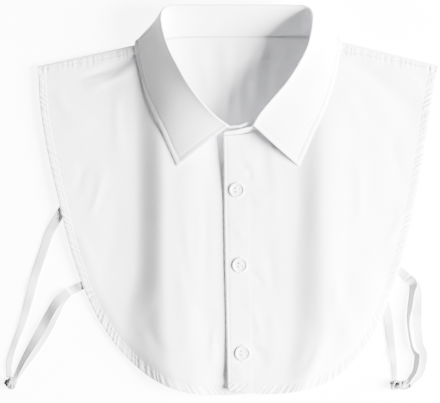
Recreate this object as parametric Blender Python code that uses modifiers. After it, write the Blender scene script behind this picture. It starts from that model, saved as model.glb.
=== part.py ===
"""Detachable shirt collar (dickey) in white cotton, laid flat on a table with its front up.

Frame: metres, +Z up from the table, +Y towards the back of the neck, +X to the wearer's left.
The origin lies on the table, on the buttoning line, half way down the garment.
Sizes in this file are millimetres until a mesh is made.
"""

import math

import bmesh
import bpy
import numpy as np
from mathutils import Vector

MM = 0.001

# Cloth walls and the gap that sewn pieces keep
CLOTH_WALL = 1.0
HEM_WALL = 1.8
PLACKET_WALL = 1.6
STAND_WALL = 1.2
LEAF_WALL = 1.4
STRAP_WALL = 1.0
SEAM_GAP = 0.3

# Hems, placket and shoulder seam
HEM_WIDTH = 6.0
PLACKET_WIDTH = 24.0
SEAM_AT_NECK = 8.0
SEAM_AT_TIP = 3.2
TURN_RADIUS = 1.6

# Left and right ends of the shoulder edge, tip to neck
SHOULDER_LEFT = ((-176.0, 116.0), (-79.0, 137.3))
SHOULDER_RIGHT = ((176.0, 116.6), (77.0, 140.8))

# Height of the cloth on the shoulder edge: x, z
SHOULDER_TOP = (
    (-176.0, 4.2),
    (-92.0, 5.4),
    (-78.0, 7.6),
    (0.0, 11.0),
    (77.0, 8.6),
    (92.0, 6.6),
    (176.0, 4.4),
)
SHOULDER_BLEND = 34.0

# Folds of the fronts, a row for each level from the collar to the hem.
# The left front rises out of a long crease to a brow, the right front has a low crest.
# y, then x and z of: left edge, crease, brow, foot of the crest, crest, right edge
FOLDS = (
    (125.0, -178.0, 4.4, -92.0, 5.6, -65.0, 11.5, 48.0, 12.6, 74.0, 14.0, 178.0, 4.6),
    (60.0, -172.0, 4.4, -91.0, 5.8, -64.0, 14.2, 49.0, 15.6, 75.0, 18.6, 168.0, 5.0),
    (0.0, -159.0, 5.6, -90.0, 5.6, -63.0, 14.4, 49.0, 15.8, 75.0, 19.0, 158.0, 4.8),
    (-60.0, -143.0, 3.9, -91.0, 4.6, -63.0, 13.8, 49.0, 15.2, 75.0, 18.4, 143.0, 3.6),
    (-110.0, -121.0, 2.8, -97.0, 3.2, -63.0, 12.8, 47.0, 13.8, 72.0, 16.0, 124.0, 2.8),
    (-145.0, -103.0, 2.2, -86.0, 2.8, -62.0, 10.4, 42.0, 11.2, 62.0, 12.2, 102.0, 2.2),
    (-175.0, -92.0, 2.2, -76.0, 2.6, -52.0, 8.4, 36.0, 9.4, 50.0, 9.6, 90.0, 2.2),
)
CREASE_RUN = 0.35
CREASE_LEVEL = 0.65
CREST_RUN = 0.33
CREST_LEVEL = 0.62

# Outline of the fronts: hem from the buttoning edge out, then the armhole up to the shoulder
LEFT_HEM = (
    (13.0, -170.6),
    (-6.0, -172.4),
    (-30.0, -172.2),
    (-54.0, -167.6),
    (-74.0, -158.8),
    (-95.0, -142.0),
    (-117.0, -115.0),
    (-131.0, -89.0),
    (-144.0, -54.0),
    (-157.5, -1.0),
    (-169.0, 51.0),
    (-174.0, 86.0),
    (-176.0, 112.8),
)
RIGHT_HEM = (
    (-8.8, -167.6),
    (8.0, -170.2),
    (28.0, -171.4),
    (59.0, -167.6),
    (83.0, -158.8),
    (103.0, -141.5),
    (121.0, -115.0),
    (132.0, -89.0),
    (144.0, -54.0),
    (156.0, -1.0),
    (165.0, 51.0),
    (170.0, 84.0),
    (176.0, 113.3),
)

# Buttoning edges, bottom to top; the first two points bound the stretch beside the hem
LEFT_FRONT_EDGE = ((13.0, -170.6), (13.0, -110.0), (13.0, -30.0), (13.0, 56.4))
RIGHT_FRONT_EDGE = ((-8.8, -167.6), (-10.2, -107.0), (-11.9, -20.0), (-12.7, 54.4))

# Necklines of the fronts, from the buttoning edge to the shoulder seam
LEFT_NECKLINE = ((13.0, 56.4), (-12.0, 57.2), (-38.0, 66.5), (-62.0, 88.0), (-75.0, 112.0), (-79.0, 129.4))
RIGHT_NECKLINE = ((-12.7, 54.4), (11.0, 57.0), (37.0, 67.0), (60.0, 88.0), (73.0, 113.0), (77.0, 132.8))

# The under front sinks below the buttoned one: y, sink
UNDERLAP_SINK = ((56.0, 4.0), (30.0, 2.4), (-110.0, 2.2), (-172.0, 3.4))
SINK_FROM_X = -42.0
SINK_TO_X = -15.0

# Back panel, which rests on the table: hem and armholes between the shoulder tips, and neckline
BACK_HEM = (
    (-175.0, 112.0),
    (-168.5, 84.0),
    (-160.0, 46.0),
    (-150.0, 6.0),
    (-138.0, -30.0),
    (-112.0, -56.0),
    (-60.0, -66.0),
    (0.0, -68.0),
    (60.0, -66.0),
    (112.0, -56.0),
    (138.0, -30.0),
    (149.0, 6.0),
    (157.0, 46.0),
    (166.0, 84.0),
    (175.0, 112.0),
)
BACK_NECKLINE = (
    (-78.0, 135.6),
    (-70.0, 137.4),
    (-60.0, 139.4),
    (-48.0, 140.8),
    (-30.0, 141.2),
    (0.0, 141.2),
    (30.0, 141.2),
    (54.0, 141.0),
    (66.0, 140.4),
    (76.0, 139.2),
)
# The back panel lifts over the collar's leaf near the neck, and its first stations there lie close together
BACK_LIFT = 1.8
BACK_LIFT_FROM_Y = 113.0
BACK_LIFT_TO_Y = 123.0
BACK_LIFT_HALF = 96.0
BACK_LIFT_FADE = 12.0
BACK_STATIONS = (0.0, 7.0, 14.0, 21.0, 29.0)

# Collar, a row for each section from the leaf's front end round to the centre back.
# roll: its reach to the left and right, y, z of the fold between stand and leaf
# seam: reach, y on the left and right, z, how far z follows the fronts instead, inset of the stand's foot
# edge: reach, y on the left and right, z, how far z follows the fronts instead
# bend and lay: share of the way from roll to edge, and lift, of the two points that shape the leaf
COLLAR = (
    (
        (7.9, 12.2, 63.8, 27.5),
        (9.0, 57.2, 57.2, 13.0, 1.0, 1.7),
        (53.0, 28.4, 28.4, 15.0, 1.0),
        (0.30, 1.6, 0.76, 1.8),
    ),
    (
        (20.5, 17.6, 73.4, 29.5),
        (23.0, 60.6, 60.6, 14.0, 1.0, 1.9),
        (60.0, 43.5, 43.5, 15.0, 1.0),
        (0.30, 2.4, 0.76, 2.2),
    ),
    (
        (32.0, 28.0, 86.0, 31.0),
        (39.0, 68.2, 68.2, 14.0, 1.0, 2.0),
        (66.5, 58.5, 58.5, 13.0, 1.0),
        (0.30, 3.0, 0.76, 2.6),
    ),
    (
        (43.0, 41.0, 101.0, 31.5),
        (55.0, 82.0, 82.0, 13.0, 1.0, 2.2),
        (74.0, 74.0, 74.0, 11.0, 1.0),
        (0.30, 3.4, 0.76, 3.0),
    ),
    (
        (52.0, 51.5, 117.0, 31.5),
        (66.5, 97.0, 97.0, 11.0, 1.0, 2.4),
        (80.5, 91.0, 91.0, 9.0, 1.0),
        (0.30, 3.6, 0.76, 3.2),
    ),
    (
        (59.5, 59.0, 132.0, 31.0),
        (73.6, 113.5, 113.5, 9.0, 1.0, 2.4),
        (85.5, 108.5, 108.5, 7.0, 1.0),
        (0.30, 3.4, 0.76, 3.2),
    ),
    (
        (64.0, 62.5, 146.0, 29.0),
        (75.8, 127.6, 127.6, 8.0, 1.0, 2.9),
        (88.8, 124.0, 125.0, 7.0, 1.0),
        (0.30, 2.6, 0.76, 2.6),
    ),
    (
        (65.6, 63.6, 155.5, 27.0),
        (75.2, 134.6, 136.4, 6.4, 0.4, 2.2),
        (90.2, 131.2, 133.4, 7.0, 1.0),
        (0.30, 1.6, 0.76, 1.8),
    ),
    (
        (65.5, 63.5, 158.6, 25.6),
        (73.4, 137.4, 139.8, 4.6, 0.2, 1.2),
        (90.2, 136.8, 139.5, 8.8, 0.0),
        (0.30, 1.2, 0.76, 1.2),
    ),
    (
        (65.1, 63.1, 161.2, 24.2),
        (70.6, 139.6, 142.2, 3.3, 0.0, 0.6),
        (89.7, 138.4, 141.1, 4.4, 0.0),
        (0.30, 0.8, 0.76, 0.6),
    ),
    (
        (64.2, 62.3, 163.2, 23.0),
        (67.4, 140.6, 142.4, 3.2, 0.0, 0.6),
        (88.4, 137.8, 140.5, 0.7, 0.0),
        (0.28, -1.6, 0.70, -2.0),
    ),
    (
        (61.0, 59.6, 165.4, 21.5),
        (62.0, 141.4, 142.6, 3.1, 0.0, 0.5),
        (85.6, 134.6, 136.6, 0.0, 0.0),
        (0.22, -7.0, 0.50, -10.4),
    ),
    (
        (50.0, 49.0, 166.6, 19.0),
        (50.0, 142.2, 142.4, 3.0, 0.0, 0.4),
        (68.0, 134.5, 134.5, 0.0, 0.0),
        (0.08, -12.4, 0.26, -14.4),
    ),
    (
        (26.0, 25.6, 166.8, 17.8),
        (26.0, 142.4, 142.4, 3.0, 0.0, 0.4),
        (34.0, 134.0, 134.0, 0.0, 0.0),
        (0.04, -13.8, 0.22, -14.2),
    ),
    (
        (0.0, 0.0, 166.8, 17.8),
        (0.0, 142.4, 142.4, 3.0, 0.0, 0.4),
        (0.0, 134.0, 134.0, 0.0, 0.0),
        (0.04, -13.8, 0.22, -14.2),
    ),
)
RING_SHIFT = -0.8
PLAN_COLUMNS = 6
ROLL_RISE = 1.8
ROLL_OUT = 5.2
ROLL_CROWN = 0.4
ROLL_FALL = 0.8
JOIN_DEPTH = 3.4
JOIN_GAP = 0.8
JOIN_CLEAR = 0.2
LEAF_REST = 0.6
ROLL_LENGTH = 9.0
STAND_SAG = 1.0
STAND_BENDS = (0.35, 0.7)
FOOT_DEPTH = 0.6

# Front ends of the stand beyond the leaf: top edge x, y, z, then seam x, y
UNDER_END = ((10.6, 67.8, 24.4, 11.0, 59.4), (2.0, 63.8, 24.6, 1.0, 59.0))
OVER_END = ((1.0, 60.2, 24.6, 0.0, 57.0), (-12.0, 58.0, 23.0, -12.0, 56.4))

# Buttons on the overlap: x, y
BUTTONS = (("top", -1.8, 7.4), ("middle", 0.9, -58.2), ("bottom", 3.2, -135.2))
BUTTON_HOLE = 1.7
BUTTON_HOLE_SPACING = 3.2
HOLE_CUTTER = 8.0
# Half of the button's section from the centre of its face out and round to its back: r, z
BUTTON_SECTION = (
    (0.0, 1.5),
    (3.4, 1.5),
    (4.3, 2.3),
    (5.3, 2.6),
    (6.2, 2.0),
    (6.35, 1.2),
    (5.6, 0.3),
    (4.4, 0.0),
    (0.0, 0.0),
)

# Elastic straps, flat on the table: x, y, top z, width
BACK_STRAP_LEFT = (
    (-141.0, 8.0, 3.2, 8.0),
    (-147.4, -0.6, 3.2, 8.0),
    (-156.8, -14.4, 2.2, 8.2),
    (-165.4, -29.5, 1.0, 8.2),
    (-171.2, -46.5, 1.0, 8.0),
    (-178.0, -66.5, 1.0, 8.0),
    (-183.6, -88.0, 1.0, 7.8),
    (-189.6, -110.0, 1.0, 6.4),
    (-196.4, -128.0, 1.0, 5.4),
    (-200.8, -144.0, 1.0, 5.8),
    (-201.0, -157.1, 1.0, 4.6),
)
BACK_STRAP_RIGHT = (
    (143.0, 6.0, 3.2, 8.0),
    (139.4, -20.0, 3.2, 8.0),
    (134.2, -40.0, 3.2, 8.0),
    (129.8, -54.0, 2.2, 8.0),
    (127.4, -68.0, 1.0, 8.0),
    (127.8, -84.0, 1.0, 8.2),
    (131.0, -100.0, 1.0, 8.2),
    (134.0, -124.0, 1.0, 7.4),
    (137.0, -144.0, 1.0, 5.6),
    (137.6, -159.1, 1.0, 4.4),
)
TAB_LEFT = (
    (-131.0, -73.4, 1.0, 7.6),
    (-139.0, -77.4, 1.0, 7.6),
    (-146.6, -81.3, 1.6, 7.6),
)
TAB_RIGHT = (
    (137.6, -60.6, 1.0, 7.6),
    (143.8, -64.6, 1.0, 7.6),
    (148.6, -68.9, 1.4, 7.6),
)
# The doubled straps from the tab to the link: x, y, width, how far the two layers lie apart
LOOP_LEFT = (
    (-149.0, -82.5, 8.0, 0.0),
    (-155.2, -88.2, 8.4, 1.6),
    (-162.8, -101.0, 8.6, 4.0),
    (-171.0, -116.4, 8.4, 4.6),
    (-180.0, -131.6, 7.4, 3.4),
    (-188.6, -145.6, 5.8, 1.8),
    (-195.5, -158.2, 4.2, 0.6),
)
LOOP_RIGHT = (
    (150.5, -70.7, 8.0, 0.0),
    (154.2, -74.8, 8.2, 1.0),
    (155.8, -82.0, 8.4, 2.8),
    (155.0, -96.0, 8.4, 4.6),
    (155.0, -112.0, 7.8, 5.2),
    (157.0, -128.0, 7.0, 5.0),
    (160.4, -140.0, 6.6, 5.0),
    (158.2, -152.0, 6.0, 4.6),
    (152.4, -159.6, 5.0, 3.0),
    (144.4, -163.1, 4.2, 1.0),
)
FOLD_GAP = 0.8
# Sewn ends of each side's straps: x, y, width, length
LINKS = (("left", -199.4, -162.2, 11.0, 10.0), ("right", 138.4, -163.4, 11.0, 8.6))
LINK_HEIGHT = 4.6
LINK_FLAT = 0.42

# Mesh fineness
FRONT_ROWS = 34
FRONT_COLUMNS = 19
BACK_ROWS = 34
BACK_STEPS = 5
TURN_STEPS = 4
COLLAR_STEP = 7.5
ROLL_POINTS = 5
LEAF_STEPS = 8
CURVE_POINTS = 60
STAND_STEPS = 5
STRAP_STEP = 8.0
BUTTON_STEPS = 24
HOLE_STEPS = 12

WHITE_COTTON = ("white_cotton", (0.86, 0.86, 0.87), 0.85)
WHITE_ELASTIC = ("white_elastic", (0.84, 0.84, 0.84), 0.75)
PEARL_PLASTIC = ("pearl_plastic", (0.90, 0.90, 0.88), 0.30)


def clear_scene():
    for item in list(bpy.data.objects):
        bpy.data.objects.remove(item, do_unlink=True)


def smooth(value):
    """Soft step from 0 to 1."""
    share = np.clip(value, 0.0, 1.0)
    return share * share * (3.0 - 2.0 * share)


def hermite(knots, values, slopes, at):
    """Cubic pieces through the values, with the slopes, read at the given places."""
    piece = np.clip(np.searchsorted(knots, at, side="right") - 1, 0, len(knots) - 2)
    width = knots[piece + 1] - knots[piece]
    share = (at - knots[piece]) / width
    if values.ndim > 1:
        share, width = share[:, None], width[:, None]
    start = (1 + 2 * share) * (1 - share) ** 2 * values[piece]
    start_slope = share * (1 - share) ** 2 * width * slopes[piece]
    end = share**2 * (3 - 2 * share) * values[piece + 1]
    end_slope = share**2 * (share - 1) * width * slopes[piece + 1]
    return start + start_slope + end + end_slope


def spline(points, shares):
    """Smooth curve through the points, read at shares of its length."""
    points = np.array(points, float)
    steps = np.linalg.norm(np.diff(points, axis=0), axis=1)
    knots = np.concatenate([[0.0], np.cumsum(steps)])
    slopes = np.gradient(points, knots, axis=0)
    fine = hermite(knots, points, slopes, np.linspace(0.0, knots[-1], 600))
    length = np.concatenate([[0.0], np.cumsum(np.linalg.norm(np.diff(fine, axis=0), axis=1))])
    at = np.asarray(shares, float) * length[-1]
    return np.stack([np.interp(at, length, column) for column in fine.T], axis=1)


def even_slopes(knots, values):
    """Slopes that keep a curve from rising past its own points; knots and values in rows."""
    width = np.diff(knots, axis=-1)
    chord = np.diff(values, axis=-1) / width
    before, after = chord[..., :-1], chord[..., 1:]
    same_way = before * after > 0
    safe_before = np.where(same_way, before, 1.0)
    safe_after = np.where(same_way, after, 1.0)
    middle = np.where(same_way, 2.0 / (1.0 / safe_before + 1.0 / safe_after), 0.0)
    return np.concatenate([chord[..., :1], middle, chord[..., -1:]], axis=-1)


def table_value(table, column, at):
    """One column of a table whose first column rises or falls, read smoothly at the places."""
    rows = np.array(sorted(table), float)
    inside = np.clip(at, rows[0, 0], rows[-1, 0])
    slopes = even_slopes(rows[:, 0], rows[:, column])
    return hermite(rows[:, 0], rows[:, column], slopes, inside)


def across(at, knots, values):
    """Each place read from its own row of knots and values."""
    slopes = even_slopes(knots, values)
    at = np.clip(at, knots[:, 0], knots[:, -1])
    piece = np.clip((at[:, None] >= knots).sum(axis=1) - 1, 0, knots.shape[1] - 2)
    row = np.arange(len(at))
    width = knots[row, piece + 1] - knots[row, piece]
    share = (at - knots[row, piece]) / width
    start = (1 + 2 * share) * (1 - share) ** 2 * values[row, piece]
    start_slope = share * (1 - share) ** 2 * width * slopes[row, piece]
    end = share**2 * (3 - 2 * share) * values[row, piece + 1]
    end_slope = share**2 * (share - 1) * width * slopes[row, piece + 1]
    return start + start_slope + end + end_slope


def shoulder_frame(side):
    """The shoulder edge's tip, neck end, direction and outward normal in plan."""
    tip, neck = (np.array(end) for end in (SHOULDER_LEFT if side < 0 else SHOULDER_RIGHT))
    along = (neck - tip) / np.linalg.norm(neck - tip)
    outward = np.array([-along[1], along[0]]) * (1.0 if along[0] > 0 else -1.0)
    return tip, neck, along, outward


def seam_point(side, share, depth):
    """A point in plan at a share of the shoulder edge, the given depth inside it."""
    tip, neck, _, outward = shoulder_frame(side)
    return tuple(tip + (neck - tip) * share - outward * depth)


def front_height(points, side):
    """Height of a front's outer face over the table; side is -1 for the left front, 1 for the right."""
    x, y = points[:, 0], points[:, 1]
    fold = [table_value(FOLDS, column, y) for column in range(1, 13)]
    left_x, crease_x, brow_x, foot_x, crest_x, right_x = fold[0::2]
    left_z, crease_z, brow_z, foot_z, crest_z, right_z = fold[1::2]
    flat_x = crease_x + (left_x - crease_x) * CREASE_RUN
    flat_z = left_z + (crease_z - left_z) * CREASE_LEVEL
    fall_x = crest_x + (right_x - crest_x) * CREST_RUN
    fall_z = right_z + (crest_z - right_z) * CREST_LEVEL
    knots = np.stack([left_x, flat_x, crease_x, brow_x, foot_x, crest_x, fall_x, right_x], axis=1)
    values = np.stack([left_z, flat_z, crease_z, brow_z, foot_z, crest_z, fall_z, right_z], axis=1)
    height = across(x, knots, values)
    tip, _, _, outward = shoulder_frame(side)
    below = -((points[:, :2] - tip) @ outward)
    edge = table_value(SHOULDER_TOP, 1, x)
    height = edge + (height - edge) * smooth(below / SHOULDER_BLEND)
    if side < 0:
        sink = table_value(UNDERLAP_SINK, 1, y)
        height = height - sink * smooth((x - SINK_FROM_X) / (SINK_TO_X - SINK_FROM_X))
    return height


def back_height(points):
    """Height of the back panel's outer face, which lifts over the collar that lies under it."""
    x, y = points[:, 0], points[:, 1]
    rise = smooth((y - BACK_LIFT_FROM_Y) / (BACK_LIFT_TO_Y - BACK_LIFT_FROM_Y))
    fade = 1.0 - smooth((np.abs(x) - BACK_LIFT_HALF) / BACK_LIFT_FADE)
    return BACK_LIFT * rise * fade


def material(name, colour, roughness):
    found = bpy.data.materials.get(name)
    if found:
        return found
    made = bpy.data.materials.new(name)
    made.use_nodes = True
    shader = made.node_tree.nodes["Principled BSDF"]
    shader.inputs["Base Color"].default_value = (*colour, 1.0)
    shader.inputs["Roughness"].default_value = roughness
    shader.inputs["Metallic"].default_value = 0.0
    return made


def shell(name, grids, wall, finish, collection, walls=None, flip=False):
    """A closed wall under one or more grids of points, which share their common edges.

    walls gives each grid's own thicknesses, up to wall.
    """
    mesh = bpy.data.meshes.new(name)
    build = bmesh.new()
    thickness = build.verts.layers.float.new("wall")
    for index, grid in enumerate(grids):
        rows, columns = grid.shape[:2]
        verts = [[build.verts.new(point * MM) for point in row] for row in grid]
        for row in range(rows):
            for column in range(columns):
                verts[row][column][thickness] = wall if walls is None else walls[index][row, column]
        for row in range(rows - 1):
            for column in range(columns - 1):
                corners = [
                    verts[row][column],
                    verts[row][column + 1],
                    verts[row + 1][column + 1],
                    verts[row + 1][column],
                ]
                build.faces.new(corners[::-1] if flip else corners)
    bmesh.ops.remove_doubles(build, verts=build.verts, dist=0.01 * MM)
    shares = [vert[thickness] / wall for vert in build.verts]
    for face in build.faces:
        face.smooth = True
    build.to_mesh(mesh)
    build.free()
    item = bpy.data.objects.new(name, mesh)
    collection.objects.link(item)
    mesh.materials.append(material(*finish))
    solidify = item.modifiers.new("wall", "SOLIDIFY")
    solidify.thickness = wall * MM
    solidify.offset = -1.0
    if walls is not None:
        group = item.vertex_groups.new(name="wall")
        for index, share in enumerate(shares):
            group.add([index], share, "REPLACE")
        solidify.vertex_group = "wall"
    return item


def front_grid(side, rows, columns):
    """Points of a front's outer face, from its buttoning edge and neckline out to its hem."""
    hem = LEFT_HEM if side < 0 else RIGHT_HEM
    edge = LEFT_FRONT_EDGE if side < 0 else RIGHT_FRONT_EDGE
    neckline = LEFT_NECKLINE if side < 0 else RIGHT_NECKLINE
    hem = (*hem[:-1], seam_point(side, 0.0, SEAM_AT_TIP + SEAM_GAP))
    neckline = (*neckline[:-1], seam_point(side, 1.0, SEAM_AT_NECK + SEAM_GAP))
    outer = spline(hem, np.linspace(0.0, 1.0, rows))
    edge_length = sum(math.dist(*pair) for pair in zip(edge[1:], edge[2:]))
    neck_length = sum(math.dist(*pair) for pair in zip(neckline, neckline[1:]))
    edge_rows = round(rows * edge_length / (edge_length + neck_length))
    edge_points = spline(edge[1:], np.linspace(0.0, 1.0, edge_rows))
    neck_points = spline(neckline, np.linspace(0.0, 1.0, rows - edge_rows + 1))
    inner = np.concatenate([edge_points, neck_points[1:]])
    grid = np.zeros((rows, columns, 3))
    for row in range(rows):
        stations = ruling_shares(np.linalg.norm(outer[row] - inner[row]), columns)
        grid[row, :, :2] = inner[row] + (outer[row] - inner[row]) * stations[:, None]
    for column in range(columns):
        grid[:, column, 2] = front_height(grid[:, column], side)
    return grid


def front_walls(grid, side):
    """The front's thickness at each point: more in its hem and its buttoning band."""
    rows, columns = grid.shape[:2]
    walls = np.full((rows, columns), CLOTH_WALL)
    walls[:, columns - 2 :] = HEM_WALL
    edge = np.array(LEFT_FRONT_EDGE if side < 0 else RIGHT_FRONT_EDGE)
    edge_x = np.interp(grid[..., 1], edge[:, 1], edge[:, 0])
    band = np.abs(grid[..., 0] - edge_x) < PLACKET_WIDTH
    below_neck = grid[..., 1] < edge[-1, 1] + 1.0
    walls[band & below_neck] = np.maximum(walls[band & below_neck], PLACKET_WALL)
    return walls


def make_front(side, name, collection):
    grid = front_grid(side, FRONT_ROWS, FRONT_COLUMNS)
    walls = front_walls(grid, side)
    return shell(name, [grid], HEM_WALL, WHITE_COTTON, collection, [walls], flip=side < 0)


def shoulder_turn(side, shares):
    """Where the back panel's cloth turns over the shoulder edge, at shares from its tip to the neck.

    Gives rows of points from the seam on the front, round the turn, to the line where it ends below.
    """
    tip, neck, _, outward = shoulder_frame(side)
    edge = tip + (neck - tip) * shares[:, None]
    start = edge - outward * TURN_RADIUS
    low = back_height(start)
    top = front_height(start, side)
    seam = SEAM_AT_TIP + (SEAM_AT_NECK - SEAM_AT_TIP) * shares
    seam_line = edge - outward * seam[:, None]
    rows = [np.column_stack([seam_line, front_height(seam_line, side)])]
    for centre, first, last in ((top - TURN_RADIUS, 90.0, 0.0), (low + TURN_RADIUS, 0.0, -90.0)):
        for angle in np.radians(np.linspace(first, last, TURN_STEPS)):
            plan = start + outward * (TURN_RADIUS * math.cos(angle))
            rows.append(np.column_stack([plan, centre + TURN_RADIUS * math.sin(angle)]))
    return np.array(rows)


def ruling_shares(length, columns):
    """Stations along a ruling from a panel's inner side to its hem, the last two in the hem."""
    inside = np.linspace(0.0, 1.0 - HEM_WIDTH / length, columns - 2)
    return np.concatenate([inside, [1.0 - 0.5 * HEM_WIDTH / length, 1.0]])


def back_shares(length):
    """Stations along a ruling of the back panel, from its neckline to its hem."""
    close = np.array(BACK_STATIONS) / length
    hem = 1.0 - HEM_WIDTH / length
    open_cloth = np.linspace(close[-1], hem, BACK_STEPS + 1)[1:]
    return np.concatenate([close, open_cloth, [(1.0 + hem) / 2.0, 1.0]])


def make_back(collection):
    """Back panel: flat on the table, lifted over the collar, and turned over both shoulder edges."""
    turns = []
    for side in (-1, 1):
        tip, neck, _, _ = shoulder_frame(side)
        turns.append(shoulder_turn(side, 1.0 - back_shares(np.linalg.norm(neck - tip))))
    first, last = (turn[-1, :, :2] for turn in turns)
    neckline = (tuple(first[0]), *BACK_NECKLINE[1:-1], tuple(last[0]))
    hem = (tuple(first[-1]), *BACK_HEM[1:-1], tuple(last[-1]))
    inner = spline(neckline, np.linspace(0.0, 1.0, BACK_ROWS))
    outer = spline(hem, np.linspace(0.0, 1.0, BACK_ROWS))
    grid = np.zeros((BACK_ROWS, len(first), 3))
    for row in range(BACK_ROWS):
        shares = back_shares(np.linalg.norm(outer[row] - inner[row]))
        grid[row, :, :2] = inner[row] + (outer[row] - inner[row]) * shares[:, None]
    grid[0, :, :2], grid[-1, :, :2] = first, last
    for column in range(grid.shape[1]):
        grid[:, column, 2] = back_height(grid[:, column])
    walls = np.full(grid.shape[:2], CLOTH_WALL)
    walls[:, -2:] = HEM_WALL
    turn_walls = np.full(turns[0].shape[:2], CLOTH_WALL)
    parts = [turns[0], grid, turns[1][::-1]]
    all_walls = [turn_walls, walls, turn_walls]
    return shell("back_panel", parts, HEM_WALL, WHITE_COTTON, collection, all_walls, flip=True)


def collar_rows():
    """The collar table's rows for the whole ring, left front end round to right front end."""
    ring = []
    for side in (-1, 1):
        half = []
        for roll, seam, edge, leaf in COLLAR:
            roll_x = -roll[0] if side < 0 else roll[1]
            seam_y = seam[1] if side < 0 else seam[2]
            edge_y = edge[1] if side < 0 else edge[2]
            plan = (roll_x, roll[2], side * seam[0] + RING_SHIFT, seam_y, side * edge[0], edge_y)
            half.append((*plan, roll[3], *seam[3:], *edge[3:], *leaf))
        ring.append(half)
    return np.array(ring[0] + ring[1][-2::-1], float)


def collar_sections(step):
    """Sections of the collar about a step apart, with the table's columns by name."""
    rows = collar_rows()
    lengths = np.linalg.norm(np.diff(rows[:, [0, 1, 4, 5]], axis=0), axis=1)
    knots = np.concatenate([[0.0], np.cumsum(lengths)])
    counts = np.maximum(2, np.round(lengths / step)).astype(int)
    pieces = [np.linspace(*knots[i : i + 2], count, endpoint=False) for i, count in enumerate(counts)]
    at = np.concatenate([*pieces, knots[-1:]])
    slopes = even_slopes(np.tile(knots, (rows.shape[1], 1)), rows.T).T
    slopes[:, :PLAN_COLUMNS] = np.gradient(rows[:, :PLAN_COLUMNS], knots, axis=0)
    table = hermite(knots, rows, slopes, at)
    heights = ("roll_z", "seam_z", "seam_follows", "inset", "edge_z", "edge_follows")
    shape = ("bend", "bend_lift", "lay", "lay_lift")
    sections = {name: table[:, PLAN_COLUMNS + index] for index, name in enumerate(heights + shape)}
    sections["roll"] = np.column_stack([table[:, 0:2], sections["roll_z"]])
    sections["seam"] = table[:, 2:4]
    sections["edge"] = table[:, 4:6]
    return sections


def inward_normals(line):
    """Plan normals of the roll line that point into the neck."""
    along = np.gradient(line[:, :2], axis=0)
    along /= np.linalg.norm(along, axis=1)[:, None]
    return np.column_stack([along[:, 1], -along[:, 0]])


def bspline(controls, count):
    """Points along a clamped cubic curve that the control points pull into shape."""
    controls = np.array(controls, float)
    size = len(controls)
    knots = np.concatenate([[0.0] * 3, np.linspace(0.0, 1.0, size - 2), [1.0] * 3])
    points = []
    for at in np.linspace(0.0, 1.0, count + 1):
        span = min(int(np.searchsorted(knots, at, side="right")) - 1, size - 1)
        work = [controls[span - 3 + index] for index in range(4)]
        for level in range(1, 4):
            for index in range(3, level - 1, -1):
                left = knots[span - 3 + index]
                right = knots[span + 1 + index - level]
                share = (at - left) / (right - left)
                work[index] = (1.0 - share) * work[index - 1] + share * work[index]
        points.append(work[3])
    return np.array(points)


def side_height(points):
    """Height of whichever front lies under each point."""
    left = front_height(points, -1)
    right = front_height(points, 1)
    return np.where(points[:, 0] < 0.0, left, right)


def stand_feet(table):
    """The line of the stand's foot, just inside the neck seam."""
    follow = table["seam_follows"]
    foot_z = table["seam_z"] * (1.0 - follow) + (side_height(table["seam"]) - FOOT_DEPTH) * follow
    toward = table["roll"][:, :2] - table["seam"]
    toward /= np.linalg.norm(toward, axis=1)[:, None]
    return np.column_stack([table["seam"] + toward * table["inset"][:, None], foot_z])


def down_the_stand(table):
    """Directions from the roll down to the stand's foot."""
    down = stand_feet(table) - table["roll"]
    return down / np.linalg.norm(down, axis=1)[:, None]


def leaf_sections(step):
    """The leaf's outer face: from its join inside the neck, over the roll, to its edge."""
    table = collar_sections(step)
    down = down_the_stand(table)
    inward = inward_normals(table["roll"])
    follow = table["edge_follows"]
    resting = side_height(table["edge"]) + LEAF_WALL + LEAF_REST
    edge_z = table["edge_z"] * (1.0 - follow) + resting * follow
    edges = np.column_stack([table["edge"], edge_z])
    up = np.array([0.0, 0.0, 1.0])
    sections = []
    for index, (roll, edge) in enumerate(zip(table["roll"], edges)):
        out = -np.array([*inward[index], 0.0])
        join = roll + down[index] * JOIN_DEPTH
        inner = roll + down[index] * JOIN_CLEAR
        top = roll + out * (ROLL_CROWN * ROLL_OUT) + up * ROLL_RISE
        outer = roll + out * ROLL_OUT - up * ROLL_FALL
        bend = roll + (edge - roll) * table["bend"][index] + up * table["bend_lift"][index]
        lay = roll + (edge - roll) * table["lay"][index] + up * table["lay_lift"][index]
        bend[2] = max(bend[2], 0.0)
        lay[2] = max(lay[2], 0.0)
        curve = bspline([join, inner, top, outer, bend, lay, edge], CURVE_POINTS)
        sections.append(roll_and_leaf(curve))
    return np.array(sections)


def make_leaf(collection):
    sections = leaf_sections(COLLAR_STEP)
    return shell("collar_leaf", [sections], LEAF_WALL, WHITE_COTTON, collection, flip=True)


def roll_and_leaf(curve):
    """Points along a leaf's section, closer together over the roll."""
    length = np.concatenate([[0.0], np.cumsum(np.linalg.norm(np.diff(curve, axis=0), axis=1))])
    near = np.linspace(0.0, ROLL_LENGTH, ROLL_POINTS)
    far = np.linspace(ROLL_LENGTH, length[-1], LEAF_STEPS)
    at = np.concatenate([near, far[1:]])
    return np.stack([np.interp(at, length, column) for column in curve.T], axis=1)


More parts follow.
